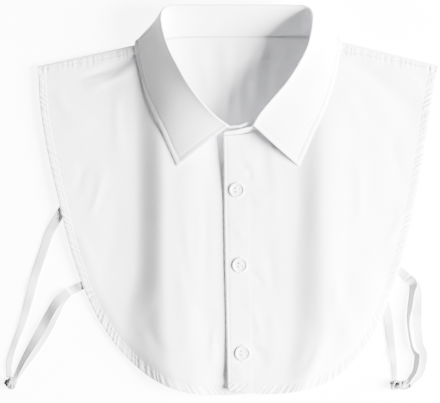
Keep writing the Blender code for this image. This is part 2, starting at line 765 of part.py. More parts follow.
def stand_sections(step):
    """The stand's face towards the neck, with the ends that overlap at the front."""
    table = collar_sections(step)
    top = table["roll"] + down_the_stand(table) * (JOIN_DEPTH + JOIN_GAP)
    foot = stand_feet(table)
    under, over = end_sections(UNDER_END, -1), end_sections(OVER_END, 1)
    sections = []
    tops = np.concatenate([under[0], top, over[0]])
    feet = np.concatenate([under[1], foot, over[1]])
    for upper, lower in zip(tops, feet):
        near_top = upper + (lower - upper) * STAND_BENDS[0]
        near_foot = upper + (lower - upper) * STAND_BENDS[1] - np.array([0.0, 0.0, STAND_SAG])
        sections.append(bspline([upper, near_top, near_foot, lower], STAND_STEPS))
    return np.array(sections)


def make_stand(collection):
    """Stand: the band between the neck seam and the leaf's join, its front ends overlapping."""
    sections = stand_sections(COLLAR_STEP)
    return shell("collar_stand", [sections], STAND_WALL, WHITE_COTTON, collection)


def end_sections(rows, side):
    """Top and foot points of the stand's front end."""
    top = np.array([[x, y, z] for x, y, z, _, _ in rows])
    plan = np.array([[x, y] for _, _, _, x, y in rows])
    foot = np.column_stack([plan, front_height(plan, side) - FOOT_DEPTH])
    return top, foot


def ribbon(centres, headings, widths):
    """Rows of points across a flat band."""
    sides = np.column_stack([-headings[:, 1], headings[:, 0], np.zeros(len(headings))])
    reach = sides * (np.asarray(widths) / 2.0)[:, None]
    return np.stack([centres + reach, centres - reach], axis=1)


def plan_headings(line):
    along = np.gradient(line[:, :2], axis=0)
    return along / np.linalg.norm(along, axis=1)[:, None]


def even_line(rows):
    """A smooth line through a strap's rows, with all its columns, in even steps."""
    total = sum(math.dist(first[:2], second[:2]) for first, second in zip(rows, rows[1:]))
    return spline(rows, np.linspace(0.0, 1.0, max(3, round(total / STRAP_STEP)) + 1))


def make_flat_strap(name, rows, collection):
    """A strap that lies flat, with its own height and width along its length."""
    line = even_line(rows)
    line[:, 2] = np.maximum(line[:, 2], STRAP_WALL)
    grid = ribbon(line[:, :3], plan_headings(line), line[:, 3])
    return shell(name, [grid], STRAP_WALL, WHITE_ELASTIC, collection)


def make_loop(side, name, rows, collection):
    """A doubled strap: one layer on the table, a fold at the tab, and the other layer on top."""
    line = even_line(rows)
    plan, widths, apart = line[:, :2], line[:, 2], line[:, 3] * side
    heading = plan_headings(line)
    sideways = np.column_stack([heading[:, 1], -heading[:, 0]])
    shift = sideways * apart[:, None] / 2.0
    top_z = 2.0 * STRAP_WALL + FOLD_GAP
    lower = np.column_stack([plan - shift, np.zeros(len(plan))])
    upper = np.column_stack([plan + shift, np.full(len(plan), top_z)])
    turn = []
    for step in range(1, 6):
        angle = math.pi * (step / 6.0 - 0.5)
        bend = plan[0] - heading[0] * top_z / 2.0 * math.cos(angle)
        turn.append([*bend, top_z / 2.0 * (1.0 + math.sin(angle))])
    centres = np.concatenate([lower[::-1], np.array(turn), upper])
    headings = np.concatenate([heading[::-1], np.repeat(heading[:1], len(turn), axis=0), heading])
    all_widths = np.concatenate([widths[::-1], np.repeat(widths[:1], len(turn)), widths])
    grid = ribbon(centres, headings, all_widths)
    return shell(name, [grid], STRAP_WALL, WHITE_ELASTIC, collection)


def make_link(name, x, y, width, length, collection):
    """The wrapped end where a side's straps are sewn together."""
    bpy.ops.mesh.primitive_uv_sphere_add(segments=16, ring_count=8, radius=0.5)
    item = bpy.context.object
    item.name = name
    item.data.name = name
    for vert in item.data.vertices:
        vert.co.x = x * MM + vert.co.x * width * MM
        vert.co.y = y * MM + vert.co.y * length * MM
        vert.co.z = (max(-LINK_FLAT, vert.co.z) + LINK_FLAT) * LINK_HEIGHT * MM
    item.data.materials.append(material(*WHITE_ELASTIC))
    for owner in list(item.users_collection):
        owner.objects.unlink(item)
    collection.objects.link(item)
    return item


def make_button(name, x, y, collection, cutters):
    """Four-hole button, turned, resting on the overlap."""
    mesh = bpy.data.meshes.new(name)
    build = bmesh.new()
    verts = [build.verts.new((r * MM, 0.0, z * MM)) for r, z in BUTTON_SECTION]
    for first, second in zip(verts, verts[1:]):
        build.edges.new((first, second))
    build.to_mesh(mesh)
    build.free()
    item = bpy.data.objects.new(name, mesh)
    collection.objects.link(item)
    mesh.materials.append(material(*PEARL_PLASTIC))
    around = np.array([[x, y], [x + 1.0, y], [x, y + 1.0]])
    level, east, north = front_height(around, 1)
    normal = Vector((level - east, level - north, 1.0)).normalized()
    item.rotation_mode = "QUATERNION"
    item.rotation_quaternion = Vector((0.0, 0.0, 1.0)).rotation_difference(normal)
    item.location = Vector((x, y, level)) * MM + normal * (SEAM_GAP * MM)
    screw = item.modifiers.new("turn", "SCREW")
    screw.steps = BUTTON_STEPS
    screw.render_steps = BUTTON_STEPS
    screw.use_merge_vertices = True
    screw.merge_threshold = 0.00001
    for index in range(4):
        angle = math.radians(45.0 + 90.0 * index)
        reach = BUTTON_HOLE_SPACING / 2.0 * math.sqrt(2.0) * MM
        radius = BUTTON_HOLE / 2.0 * MM
        bpy.ops.mesh.primitive_cylinder_add(vertices=HOLE_STEPS, radius=radius, depth=HOLE_CUTTER * MM)
        cutter = bpy.context.object
        cutter.name = f"{name}_hole_{index}"
        cutter.parent = item
        cutter.location = (reach * math.cos(angle), reach * math.sin(angle), 0.0)
        cutter.hide_render = True
        cutter.display_type = "WIRE"
        for owner in list(cutter.users_collection):
            owner.objects.unlink(cutter)
        cutters.objects.link(cutter)
        cut = item.modifiers.new(f"hole_{index}", "BOOLEAN")
        cut.operation = "DIFFERENCE"
        cut.object = cutter
    return item


def main():
    clear_scene()
    collection = bpy.data.collections.new("detachable_shirt_collar")
    cutters = bpy.data.collections.new("cutters")
    bpy.context.scene.collection.children.link(collection)
    bpy.context.scene.collection.children.link(cutters)
    make_back(collection)
    make_front(-1, "front_under", collection)
    make_front(1, "front_over", collection)
    make_stand(collection)
    make_leaf(collection)
    for name, x, y in BUTTONS:
        make_button(f"button_{name}", x, y, collection, cutters)
    make_flat_strap("strap_back_left", BACK_STRAP_LEFT, collection)
    make_flat_strap("strap_back_right", BACK_STRAP_RIGHT, collection)
    make_flat_strap("strap_tab_left", TAB_LEFT, collection)
    make_flat_strap("strap_tab_right", TAB_RIGHT, collection)
    make_loop(-1, "strap_loop_left", LOOP_LEFT, collection)
    make_loop(1, "strap_loop_right", LOOP_RIGHT, collection)
    for side, x, y, width, length in LINKS:
        make_link(f"strap_link_{side}", x, y, width, length, collection)


main()
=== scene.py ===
"""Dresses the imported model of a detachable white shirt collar, laid flat with its front up.

The frame is the model's own: metres, +Z up from the table, +Y towards the back of the neck, +X to the
wearer's left. The forms below are worked out in millimetres, and lie within about two of the solids.
"""

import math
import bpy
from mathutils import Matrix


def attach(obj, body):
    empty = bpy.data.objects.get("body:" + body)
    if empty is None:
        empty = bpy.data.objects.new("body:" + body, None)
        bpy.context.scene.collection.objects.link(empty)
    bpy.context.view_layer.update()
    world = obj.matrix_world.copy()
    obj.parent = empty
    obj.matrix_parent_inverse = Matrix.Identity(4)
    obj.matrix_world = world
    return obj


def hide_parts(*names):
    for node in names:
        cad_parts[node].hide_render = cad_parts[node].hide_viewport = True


bl_info = {
    "name": "Detachable shirt collar",
    "version": (1, 0, 0),
    "blender": (4, 5, 0),
    "location": "View3D > Sidebar > Collar",
    "description": "Cloth, stitches, buttons and elastic straps of a detachable shirt collar",
    "category": "Object",
}

import bmesh
import bpy
import numpy as np
from bpy.props import FloatProperty, FloatVectorProperty, PointerProperty
from mathutils import Vector

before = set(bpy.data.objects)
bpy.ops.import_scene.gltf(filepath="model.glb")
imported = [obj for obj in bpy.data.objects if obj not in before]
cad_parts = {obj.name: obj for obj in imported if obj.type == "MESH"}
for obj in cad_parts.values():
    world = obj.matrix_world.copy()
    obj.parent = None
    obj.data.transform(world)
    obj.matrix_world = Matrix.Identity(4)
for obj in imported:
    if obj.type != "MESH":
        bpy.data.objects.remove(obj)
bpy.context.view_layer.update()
MM = 0.001
UP = (0.0, 0.0, 1.0)

# Drawn walls
PANEL_WALL = 1.0
HEM_WALL = 1.5
LEAF_WALL = 0.9
SATIN_WALL = 0.35
STRAP_DRAWN = 0.78

# Mesh fineness. Spacing: length of the first stretch, its points, the middle's points, and the last stretch's
FRONT_ROWS = 384
BACK_ROWS = 190
LEAF_STEP = 1.5
STRAP_GRAIN = 1.2
FRONT_SPACING = (5.0, 8, 74, 9.0, 20)
BACK_SPACING = (30.0, 24, 56, 8.0, 14)
LEAF_SPACING = (9.0, 20, 26, 6.5, 14)
CURVE_SAMPLES = 600
HEM_SAMPLES = 1500
DISTANCE_BATCH = 4000
LEAF_SAMPLES = 60
STAND_SAMPLES = 22
END_SAMPLES = 12
BAND_POINTS = 13

# Rows of stitches: distance from the edge that they follow, and how the thread lies on the cloth
HEM_STITCH = 4.9
EDGE_STITCH = 2.6
PLACKET_STITCH = 22.4
LEAF_STITCH = 4.2
STAND_STITCH = 2.2
STITCH_LIFT = 0.05
STITCH_SINK = 0.12

# Hems: width, raised fold, and the reach, length and pull of the puckers
HEM_WIDTH = 6.0
HEM_FOLD = 0.42
PUCKER_REACH = 9.5
PUCKER_FADE = 4.5
PUCKER_LENGTH = 5.9
PUCKER_SWELL = 43.0
FRONT_PULL = 0.52
BACK_PULL = 0.20
# The fronts' puckers slant one way along the armholes and the other way below this level
HEM_SLANT = 0.9
HEM_TURN_Y = -66.0
HEM_TURN_RUN = 34.0
# The cloth swells above the lower hem
HEM_RISE = 1.5
HEM_RISE_RUN = 12.0

# Shoulder seam: depth below the edge at its two ends, gap, turn to the back, and its puckers
SEAM_AT_NECK = 8.0
SEAM_AT_TIP = 3.2
SEAM_GAP = 0.3
SEAM_REACH = 6.5
SEAM_PUCKER = 5.4
SEAM_PULL = 0.50
TURN_RADIUS = 1.6
FLANGE_ROWS = 9
TURN_ROWS = 7

# Placket: width of the doubled band, its step, and the under front's narrower step
PLACKET_WIDTH = 24.0
PLACKET_STEP = 0.22
UNDER_STEP = 0.2
PLACKET_TOP_Y = 58.0

# Left and right ends of the shoulder edge, tip to neck
SHOULDER_LEFT = ((-176, 116), (-79, 137.3))
SHOULDER_RIGHT = ((176, 116.6), (77, 140.8))

# Height of the cloth on the shoulder edge: x, z
SHOULDER_TOP = ((-176, 4.2), (-110, 4.8), (-93, 7), (-78, 8.6), (0, 11), (77, 8.6), (92, 6.6), (176, 4.4))
SHOULDER_BLEND = 34.0

# Folds of the fronts, a row for each level from the collar to the hem.
# The left front rises out of a long crease to a brow, the right front has a low crest.
# y, then x and z of the left edge, crease, brow, foot of the crest, crest and right edge
FOLDS = (
    (125, -178, 4.4, -92, 5.2, -65, 10.4, 48, 12.6, 74, 14, 178, 4.6),
    (60, -172, 4.2, -91, 5, -64, 13.6, 51, 14.6, 74, 18.4, 168, 5),
    (0, -159, 5.2, -90, 4.9, -63, 14.4, 51, 13.8, 74, 19, 158, 4.8),
    (-60, -143, 3.7, -91, 4, -63, 13.8, 47, 12.4, 75, 18.2, 143, 3.6),
    (-110, -121, 2.6, -101, 3.2, -61, 14.6, 46, 10.6, 73, 15.4, 124, 2.8),
    (-145, -103, 2.4, -96, 2.8, -57, 12.4, 42, 8.8, 64, 11.8, 102, 2.2),
    (-175, -92, 2.2, -76, 2.6, -52, 8.4, 36, 8.4, 50, 9, 90, 2.2),
)
CREASE_RUN = 0.35
CREASE_LEVEL = 0.65
CREST_RUN = 0.33
CREST_LEVEL = 0.62

# Outline of the fronts: hem from the buttoning edge out, then the armhole up to the shoulder
LEFT_HEM = (
    (13, -170.6), (-6, -172.4), (-30, -172.2), (-54, -167.6), (-74, -158.8), (-95, -142), (-117, -115),
    (-131, -89), (-144, -54), (-157.5, -1), (-169, 51), (-174, 86), (-176, 112.8),
)
RIGHT_HEM = (
    (-8.8, -167.6), (8, -170.2), (28, -171.4), (59, -167.6), (83, -158.8), (103, -141.5), (121, -115),
    (132, -89), (144, -54), (156, -1), (165, 51), (170, 84), (176, 113.3),
)

# Buttoning edges, bottom to top; the first two points bound the stretch beside the hem
LEFT_FRONT_EDGE = ((13, -170.6), (13, -110), (13, -30), (13, 56.4))
RIGHT_FRONT_EDGE = ((-8.8, -167.6), (-10.2, -107), (-11.9, -20), (-12.7, 54.4))

# Necklines of the fronts, from the buttoning edge to the shoulder seam
LEFT_NECKLINE = ((13, 56.4), (-12, 57.2), (-38, 66.5), (-62, 88), (-75, 112), (-79, 129.4))
RIGHT_NECKLINE = ((-12.7, 54.4), (11, 57), (37, 67), (60, 88), (73, 113), (77, 132.8))

# The under front sinks below the buttoned one: y, sink
UNDERLAP_SINK = ((56, 4.6), (36, 3.4), (12, 1.9), (-8, 1.25), (-100, 1.2), (-140, 2.2), (-172, 4.4))
SINK_FROM_X = -42.0
SINK_TO_X = -15.0

# Back panel, which rests on the table: hem and armholes between the shoulder tips, and neckline
BACK_HEM = (
    (-175, 112), (-168.5, 84), (-160, 46), (-150, 6), (-138, -30), (-112, -56), (-60, -66), (0, -68),
    (60, -66), (112, -56), (138, -30), (149, 6), (157, 46), (166, 84), (175, 112),
)
BACK_NECKLINE = (
    (-78, 135.6), (-70, 137.4), (-60, 139.4), (-48, 140.8), (-30, 141.2), (0, 141.2), (30, 141.2),
    (54, 141), (66, 140.4), (76, 139.2),
)
# The back panel lifts over the collar's leaf near the neck
BACK_LIFT = 1.8
BACK_LIFT_FROM_Y = 113.0
BACK_LIFT_TO_Y = 123.0
BACK_LIFT_HALF = 96.0
BACK_LIFT_FADE = 12.0
# Its hem's relief ends below the shoulders
BACK_RELIEF_TOP_Y = 112.0
BACK_RELIEF_RUN = 4.0

# Collar, two lines for each section from the leaf's front end round to the centre back.
# roll: its reach to the left and right, y, z of the fold between stand and leaf
# seam: reach, y on the left and right, z, how far z follows the fronts instead, inset of the stand's foot
# edge: reach, y on the left and right, z, how far z follows the fronts instead
# bend and lay: share of the way from roll to edge, and lift, of the two points that shape the leaf
COLLAR = (
    ((7.9, 12.2, 63.8, 27.5), (9, 57.2, 57.2, 13, 1, 1.7),
     (53, 28.4, 28.4, 15, 1), (0.3, 0.2, 0.76, 1.1)),
    ((20.5, 17.6, 73.4, 29.5), (23, 60.6, 60.6, 14, 1, 1.9),
     (60, 43.5, 43.5, 15, 1), (0.3, 0.2, 0.76, 1.2)),
    ((32, 28, 86, 31), (39, 68.2, 68.2, 14, 1, 2),
     (66.5, 58.5, 58.5, 13, 1), (0.3, 0.1, 0.76, 1.3)),
    ((43, 41, 101, 31.5), (55, 82, 82, 13, 1, 2.2),
     (74, 74, 74, 11, 1), (0.3, 0, 0.76, 1.3)),
    ((52, 51.5, 117, 31.5), (66.5, 97, 97, 11, 1, 2.4),
     (80.5, 91, 91, 9, 1), (0.3, 0, 0.76, 1.3)),
    ((59.5, 59, 132, 31), (73.6, 113.5, 113.5, 9, 1, 2.4),
     (85.5, 108.5, 108.5, 7, 1), (0.3, 0, 0.76, 1.3)),
    ((64, 62.5, 146, 29), (75.8, 127.6, 127.6, 8, 1, 2.9),
     (88.8, 124, 125, 7, 1), (0.3, 0.1, 0.76, 1.2)),
    ((65.6, 63.6, 155.5, 27), (75.2, 134.6, 136.4, 6.4, 0.4, 2.2),
     (90.2, 131.2, 133.4, 7, 1), (0.3, 0.2, 0.76, 1)),
    ((65.5, 63.5, 158.6, 25.6), (73.4, 137.4, 139.8, 4.6, 0.2, 1.2),
     (90.2, 136.8, 139.5, 8.8, 0), (0.3, 0.5, 0.76, 0.8)),
    ((65.1, 63.1, 161.2, 24.2), (70.6, 139.6, 142.2, 3.3, 0, 0.6),
     (89.7, 138.4, 141.1, 4.4, 0), (0.3, 0.8, 0.76, 0.6)),
    ((64.2, 62.3, 163.2, 23), (67.4, 140.6, 142.4, 3.2, 0, 0.6),
     (88.4, 137.8, 140.5, 0.7, 0), (0.28, -1.6, 0.7, -2)),
    ((61, 59.6, 165.4, 21.5), (62, 141.4, 142.6, 3.1, 0, 0.5),
     (85.6, 134.6, 136.6, 0, 0), (0.22, -7, 0.5, -10.4)),
    ((50, 49, 166.6, 19), (50, 142.2, 142.4, 3, 0, 0.4),
     (68, 134.5, 134.5, 0, 0), (0.08, -12.4, 0.26, -14.4)),
    ((26, 25.6, 166.8, 17.8), (26, 142.4, 142.4, 3, 0, 0.4),
     (34, 134, 134, 0, 0), (0.04, -13.8, 0.22, -14.2)),
    ((0, 0, 166.8, 17.8), (0, 142.4, 142.4, 3, 0, 0.4),
     (0, 134, 134, 0, 0), (0.04, -13.8, 0.22, -14.2)),
)
RING_SHIFT = -0.8
PLAN_COLUMNS = 6
ROLL_START = 0.2
ROLL_CROWN = 0.4
ROLL_RISE = 1.3
ROLL_OUT = 3.3
ROLL_FALL = 0.8
JOIN_DEPTH = 3.4
JOIN_GAP = 0.12
LEAF_LIE = 0.75
STAND_SAG = 1.0
FOOT_DEPTH = 0.6

# Front ends of the stand beyond the leaf: top edge x, y, z, then seam x, y
UNDER_END = ((10.6, 67.8, 24.4, 11, 59.4), (2, 63.8, 24.6, 1, 59))
OVER_END = ((1, 60.2, 24.6, 0, 57), (-12, 58, 23, -12, 56.4))
# The stand is puckered over this length from its ends
END_PUCKER_REACH = 26.0
END_PUCKER_FADE = 14.0

# Buttons on the overlap: x, y, turn of the thread in degrees; they are drawn a little further in
BUTTONS = (("top", -1.8, 7.4, 8.0), ("middle", 0.9, -58.2, -12.0), ("bottom", 3.2, -135.2, 5.0))
BUTTON_SHIFT = 0.9
BUTTON_LIFT = 0.12
HOLLOW_DEPTH = 0.8
HOLLOW_RADIUS = 7.5

# Forms of a button and its thread, in metres
RIM_SLOPE = 0.0006
FACE_ROUND = 0.0004
UNDERSIDE_EDGE = 0.0012
UNDERSIDE_SWELL = 0.0001
DRILL_DEPTH = 0.01
JOIN_WITHIN = 0.000004
STRAND_RADIUS = 0.00017
STRAND_PITCH = 0.00028
STRAND_ARCH = 0.00045
STRAND_STAGGER = 0.00008
STRAND_OVER = 0.0003
STRAND_DIP = 0.0012

# Elastic straps, flat on the table: x, y, top z, width
BACK_STRAP_LEFT = (
    (-141, 8, 3.2, 8), (-147.4, -0.6, 3.2, 8), (-156.8, -14.4, 2.2, 8.2), (-165.4, -29.5, 1, 8.2),
    (-171.2, -46.5, 1, 8), (-178, -66.5, 1, 8), (-183.6, -88, 1, 7.8), (-189.6, -110, 1, 6.4),
    (-196.4, -128, 1, 5.4), (-200.8, -144, 1, 5.8), (-201, -157.1, 1, 4.6),
)
BACK_STRAP_RIGHT = (
    (143, 6, 3.2, 8), (139.4, -20, 3.2, 8), (134.2, -40, 3.2, 8), (129.8, -54, 2.2, 8),
    (127.4, -68, 1, 8), (127.8, -84, 1, 8.2), (131, -100, 1, 8.2), (134, -124, 1, 7.4),
    (137, -144, 1, 5.6), (137.6, -159.1, 1, 4.4),
)
TAB_LEFT = (
    (-131, -73.4, 1.9, 7.6), (-138.4, -77.1, 1.9, 7.6), (-142.8, -79.3, 1, 7.6),
    (-146.6, -81.3, 1.6, 7.6),
)
TAB_RIGHT = ((137.6, -60.6, 1, 7.6), (143.8, -64.6, 1, 7.6), (148.6, -68.9, 1.4, 7.6))
# The doubled straps from the tab to the link: x, y, width, how far the two layers lie apart,
# and how far the layer on the table and the layer on top stand on edge, in degrees
LOOP_LEFT = (
    (-149, -82.5, 8, 0, 0, 0), (-155.2, -88.2, 8.4, 1.6, 0, 6), (-162.8, -101, 8.6, 3.6, -4, 25),
    (-171, -116.4, 8.4, 4.4, 0, 9), (-180, -131.6, 7.4, 4, -4, 21), (-188.6, -145.6, 5.8, 2.6, 0, 27),
    (-195.5, -158.2, 4.2, 0.8, 0, 20),
)
LOOP_RIGHT = (
    (150.5, -70.7, 8, 0, 0, 0), (154.2, -74.8, 8.2, 1, 0, 22), (155.8, -82, 8.4, 2.8, -4, 44),
    (155, -96, 8.4, 4.6, 7, 48), (155, -112, 7.8, 5.2, -4, 68), (157, -128, 7, 5, 4, 66),
    (160.4, -140, 6.6, 5, 10, 42), (158.2, -152, 6, 4.6, 4, 46), (152.4, -159.6, 5, 3, 0, 40),
    (144.4, -163.1, 4.2, 1, 0, 14),
)
STRAP_WALL = 1.0
SELVEDGE = 0.22
ROCK_ANGLE = 8.0
ROCK_LENGTH = 52.0
# Half of the height that a strap keeps when it stands on edge, for its elastic curls
EDGE_HALF = 2.4
FOLD_GAP = 0.8
# Knots where each side's straps meet: x, y, width, length
LINKS = (("left", -199.4, -162.2, 12.6, 11.2), ("right", 138.4, -163.4, 11.6, 9))
# Turns of each knot: ring radius, strand radius, lean and spin in degrees, shift x, y, z
KNOT_TURNS = {
    "left": (
        (3.6, 1.15, 12.0, 10.0, (0.0, 0.2, 1.8)),
        (3.2, 1.10, 52.0, 35.0, (0.9, -0.6, 2.8)),
        (3.0, 1.05, -48.0, 85.0, (-1.0, 0.4, 2.7)),
        (2.2, 1.00, 24.0, 140.0, (0.4, 1.6, 3.2)),
    ),
    "right": (
        (3.6, 1.15, 12.0, -10.0, (0.0, 0.2, 1.8)),
        (3.2, 1.10, 50.0, 60.0, (-0.9, -0.4, 2.8)),
        (3.0, 1.05, -46.0, 15.0, (1.2, 0.3, 2.7)),
        (2.4, 1.00, 28.0, 100.0, (4.4, -0.4, 2.4)),
        (3.6, 0.95, 16.0, 20.0, (9.4, -0.6, 1.6)),
    ),
}
# The width and length that the turns' radii are drawn for, and how they are squeezed
KNOT_WIDTH = 11.0
KNOT_LENGTH = 10.0
KNOT_HEIGHT = 1.25
KNOT_FLOOR = 0.15

# Soft folds of the fronts: from x, y to x, y, half width, height, bow to one side
FRONT_CREASES = (
    (-88, 125, -136, 107, 3.8, -2.3, 2), (-92, 113, -132, 98, 4.6, 1.1, 2),
    (-152, 108, -100, 92, 9, -0.9, 3), (-160, 96, -128, 60, 8, 0.5, -5),
    (-118, 30, -130, -16, 4.5, 0.6, 2), (-136, 34, -144, 2, 5, -0.4, 2), (-104, 96, -101, 30, 6, 0.6, -3),
    (-108, 0, -116, -62, 7, -0.5, 4), (-140, -30, -122, -86, 6, 0.7, 2), (-44, 40, -42, -60, 5, 0.45, -3),
    (-29, 20, -31, -90, 5, -0.4, 2), (-52, -60, -44, -140, 6, 0.5, 3),
    (-32, -92, -26, -130, 6.5, -0.8, 2), (-22, -112, -20, -150, 4, 0.5, -1),
    (-80, -92, -64, -140, 8, -0.7, -4), (18, 50, 27, 4, 5, -0.6, 2), (2, 32, 12, 18, 5, -0.5, 1),
    (10, 4, 24, -8, 5, 0.45, 2), (-6, -18, 4, -36, 5, 0.4, 1), (8, -62, 22, -76, 4.5, -0.45, 1),
    (10, -126, 24, -148, 5, -0.6, 2), (-2, -146, 6, -160, 5, 0.45, 1), (30, 46, 33, -20, 5.5, 0.5, -2),
    (6, 40, 16, 14, 3.5, 0.35, 1), (20, -30, 30, -84, 6, -0.45, 3), (8, -84, 20, -124, 5, 0.4, 2),
    (30, -100, 26, -150, 6, 0.45, 3), (102, 40, 105, -20, 6, 0.7, 3), (98, 118, 162, 62, 9, -2.2, 6),
    (118, -48, 94, -130, 15, 2, 4), (92, 126, 130, 118, 4.5, 0.8, 2), (126, 118, 162, 98, 5, 0.7, 2),
    (96, 100, 112, 60, 8, 0.6, -3), (134, 60, 150, 10, 7, -0.6, -4), (106, -56, 136, -88, 9, -1.3, 4),
    (86, -70, 98, -124, 7, 1.2, -3), (70, -108, 56, -150, 6, -0.6, 3), (146, -6, 130, -40, 5, 0.6, 2),
)
# Soft folds of the back panel that show inside the neck
BACK_CREASES = (
    (-12, 138, -10, 70, 5, 1.8, 2), (6, 134, 2, 74, 4.5, 1.2, -2), (24, 136, 14, 84, 5, 1.5, -2),
    (-36, 132, -26, 92, 6, 0.9, 2), (44, 130, 30, 92, 5, 1, -2),
)

# Camera: above the garment, with a long lens, in the photograph's frame of 440 by 403
CAMERA_LENS = 200.0
CAMERA_PLACE = (-0.01575, -0.0026, 2.148)
# Key light, low on the right as the picture's shading shows
KEY_PLACE = (1.72, -0.24, 0.77)
KEY_SIZE = 1.0
# Share of the paper's glow that lights the cloth
PAPER_SPILL = 0.2


def smooth(value):
    """Soft step from 0 to 1."""
    share = np.clip(value, 0.0, 1.0)
    return share * share * (3.0 - 2.0 * share)


def bell(distance, spread):
    """A soft bell of height 1 that fades with the distance."""
    return np.exp(-((distance / spread) ** 2))


def unit(vectors):
    """Vectors brought to length 1."""
    return vectors / np.linalg.norm(vectors, axis=-1, keepdims=True)


def run_along(points):
    """Length run to each point of a line, or of every row of a grid."""
    steps = np.linalg.norm(np.diff(points, axis=-2), axis=-1)
    return np.concatenate([np.zeros((*steps.shape[:-1], 1)), np.cumsum(steps, axis=-1)], axis=-1)


def read_line(line, run, at):
    """A line's columns read at places along its run."""
    return np.stack([np.interp(at, run, column) for column in line.T], axis=-1)


def ripple(at, wavelength):
    """Uneven waves between -1 and 1 along a seam."""
    phase = 2.0 * math.pi * at / wavelength
    swell = 0.62 + 0.38 * np.sin(0.173 * phase + 1.3) * np.sin(0.061 * phase)
    return swell * np.sin(phase + 1.9 * np.sin(0.21 * phase) + 0.9 * np.sin(0.47 * phase + 2.0))


def cubic(share, width, start, start_slope, end, end_slope):
    """A cubic piece between two values with their slopes."""
    return (
        (1 + 2 * share) * (1 - share) ** 2 * start
        + share * (1 - share) ** 2 * width * start_slope
        + share**2 * (3 - 2 * share) * end
        + share**2 * (share - 1) * width * end_slope
    )


def hermite(knots, values, slopes, at):
    """Cubic pieces through the values, with the slopes, read at the given places."""
    piece = np.clip(np.searchsorted(knots, at, side="right") - 1, 0, len(knots) - 2)
    width = knots[piece + 1] - knots[piece]
    share = (at - knots[piece]) / width
    if values.ndim > 1:
        share, width = share[:, None], width[:, None]
    return cubic(share, width, values[piece], slopes[piece], values[piece + 1], slopes[piece + 1])


def spline(points, count, first=0.0, last=1.0):
    """Even points on a smooth curve through the given ones, from one share of its length to another."""
    points = np.array(points, float)
    knots = run_along(points)
    slopes = np.gradient(points, knots, axis=0)
    fine = hermite(knots, points, slopes, np.linspace(0.0, knots[-1], CURVE_SAMPLES))
    run = run_along(fine)
    return read_line(fine, run, np.linspace(first, last, count) * run[-1])


def even_slopes(knots, values):
    """Slopes that keep a curve from rising past its own points; knots and values in rows."""
    chord = np.diff(values, axis=-1) / np.diff(knots, axis=-1)
    before, after = chord[..., :-1], chord[..., 1:]
    same_way = before * after > 0
    safe_before = np.where(same_way, before, 1.0)
    safe_after = np.where(same_way, after, 1.0)
    middle = np.where(same_way, 2.0 / (1.0 / safe_before + 1.0 / safe_after), 0.0)
    return np.concatenate([chord[..., :1], middle, chord[..., -1:]], axis=-1)


def table_value(table, column, at):
    """One column of a table whose first column rises or falls, read smoothly at the places."""
    rows = np.array(sorted(table), float)
    inside = np.clip(at, rows[0, 0], rows[-1, 0])
    return hermite(rows[:, 0], rows[:, column], even_slopes(rows[:, 0], rows[:, column]), inside)


def across(at, knots, values):
    """Each place read from its own row of knots and values."""
    slopes = even_slopes(knots, values)
    at = np.clip(at, knots[:, 0], knots[:, -1])
    piece = np.clip((at[:, None] >= knots).sum(axis=1) - 1, 0, knots.shape[1] - 2)
    here, after = (np.arange(len(at)), piece), (np.arange(len(at)), piece + 1)
    width = knots[after] - knots[here]
    return cubic((at - knots[here]) / width, width, values[here], slopes[here], values[after], slopes[after])


def bspline(controls, count):
    """Clamped cubic curves that the control points pull into shape, one for each row of the controls."""
    size = len(controls)
    knots = np.concatenate([[0.0] * 3, np.linspace(0.0, 1.0, size - 2), [1.0] * 3])
    points = []
    for at in np.linspace(0.0, 1.0, count + 1):
        span = min(int(np.searchsorted(knots, at, side="right")) - 1, size - 1)
        work = [controls[span - 3 + index] for index in range(4)]
        for level in range(1, 4):
            for index in range(3, level - 1, -1):
                left = knots[span - 3 + index]
                right = knots[span + 1 + index - level]
                share = (at - left) / (right - left)
                work[index] = (1.0 - share) * work[index - 1] + share * work[index]
        points.append(work[3])
    return np.stack(points, axis=1)


def spaced(length, near, near_count, middle_count, far, far_count):
    """Places along a length, closer together in its first and last stretch."""
    first = np.linspace(0.0, near, near_count)
    middle = np.linspace(near, length - far, middle_count)
    last = np.linspace(length - far, length, far_count)
    return np.concatenate([first, middle[1:-1], last])


def ruled(inner, outer, spacing):
    """Rows of points from an inner line to an outer one."""
    rows = []
    for start, end in zip(inner, outer):
        length = np.linalg.norm(end - start)
        rows.append(start + (end - start) * (spaced(length, *spacing) / length)[:, None])
    return np.array(rows)


def raised(plan, height):
    """A grid in plan with its heights."""
    return np.dstack([plan, height.reshape(plan.shape[:2])])


def margins(points):
    """Runs over a grid: from its first column, to its last one, along the rows, and to the nearer end."""
    from_start, along = run_along(points), run_along(points.swapaxes(0, 1)).T
    return from_start, from_start[:, -1:] - from_start, along, np.minimum(along, along[-1:] - along)


def grid_normals(points):
    """Unit normals of a grid of points."""
    return unit(np.cross(np.gradient(points, axis=0), np.gradient(points, axis=1)))


def plan_headings(line):
    """Unit headings of a line in plan."""
    return unit(np.gradient(line[:, :2], axis=0))


def plan_normals(line):
    """Unit normals in plan, to the left of a line's headings."""
    headings = plan_headings(line)
    return np.column_stack([-headings[:, 1], headings[:, 0]])


def curve_distance(points, curve):
    """Distance of points to a dense curve in plan, and how far along it the nearest place is."""
    run = run_along(curve)
    distance, along = np.empty(len(points)), np.empty(len(points))
    for first in range(0, len(points), DISTANCE_BATCH):
        part = slice(first, first + DISTANCE_BATCH)
        squares = ((points[part, None, :2] - curve[None, :, :]) ** 2).sum(axis=2)
        nearest = squares.argmin(axis=1)
        distance[part] = np.sqrt(squares[np.arange(len(nearest)), nearest])
        along[part] = run[nearest]
    return distance, along


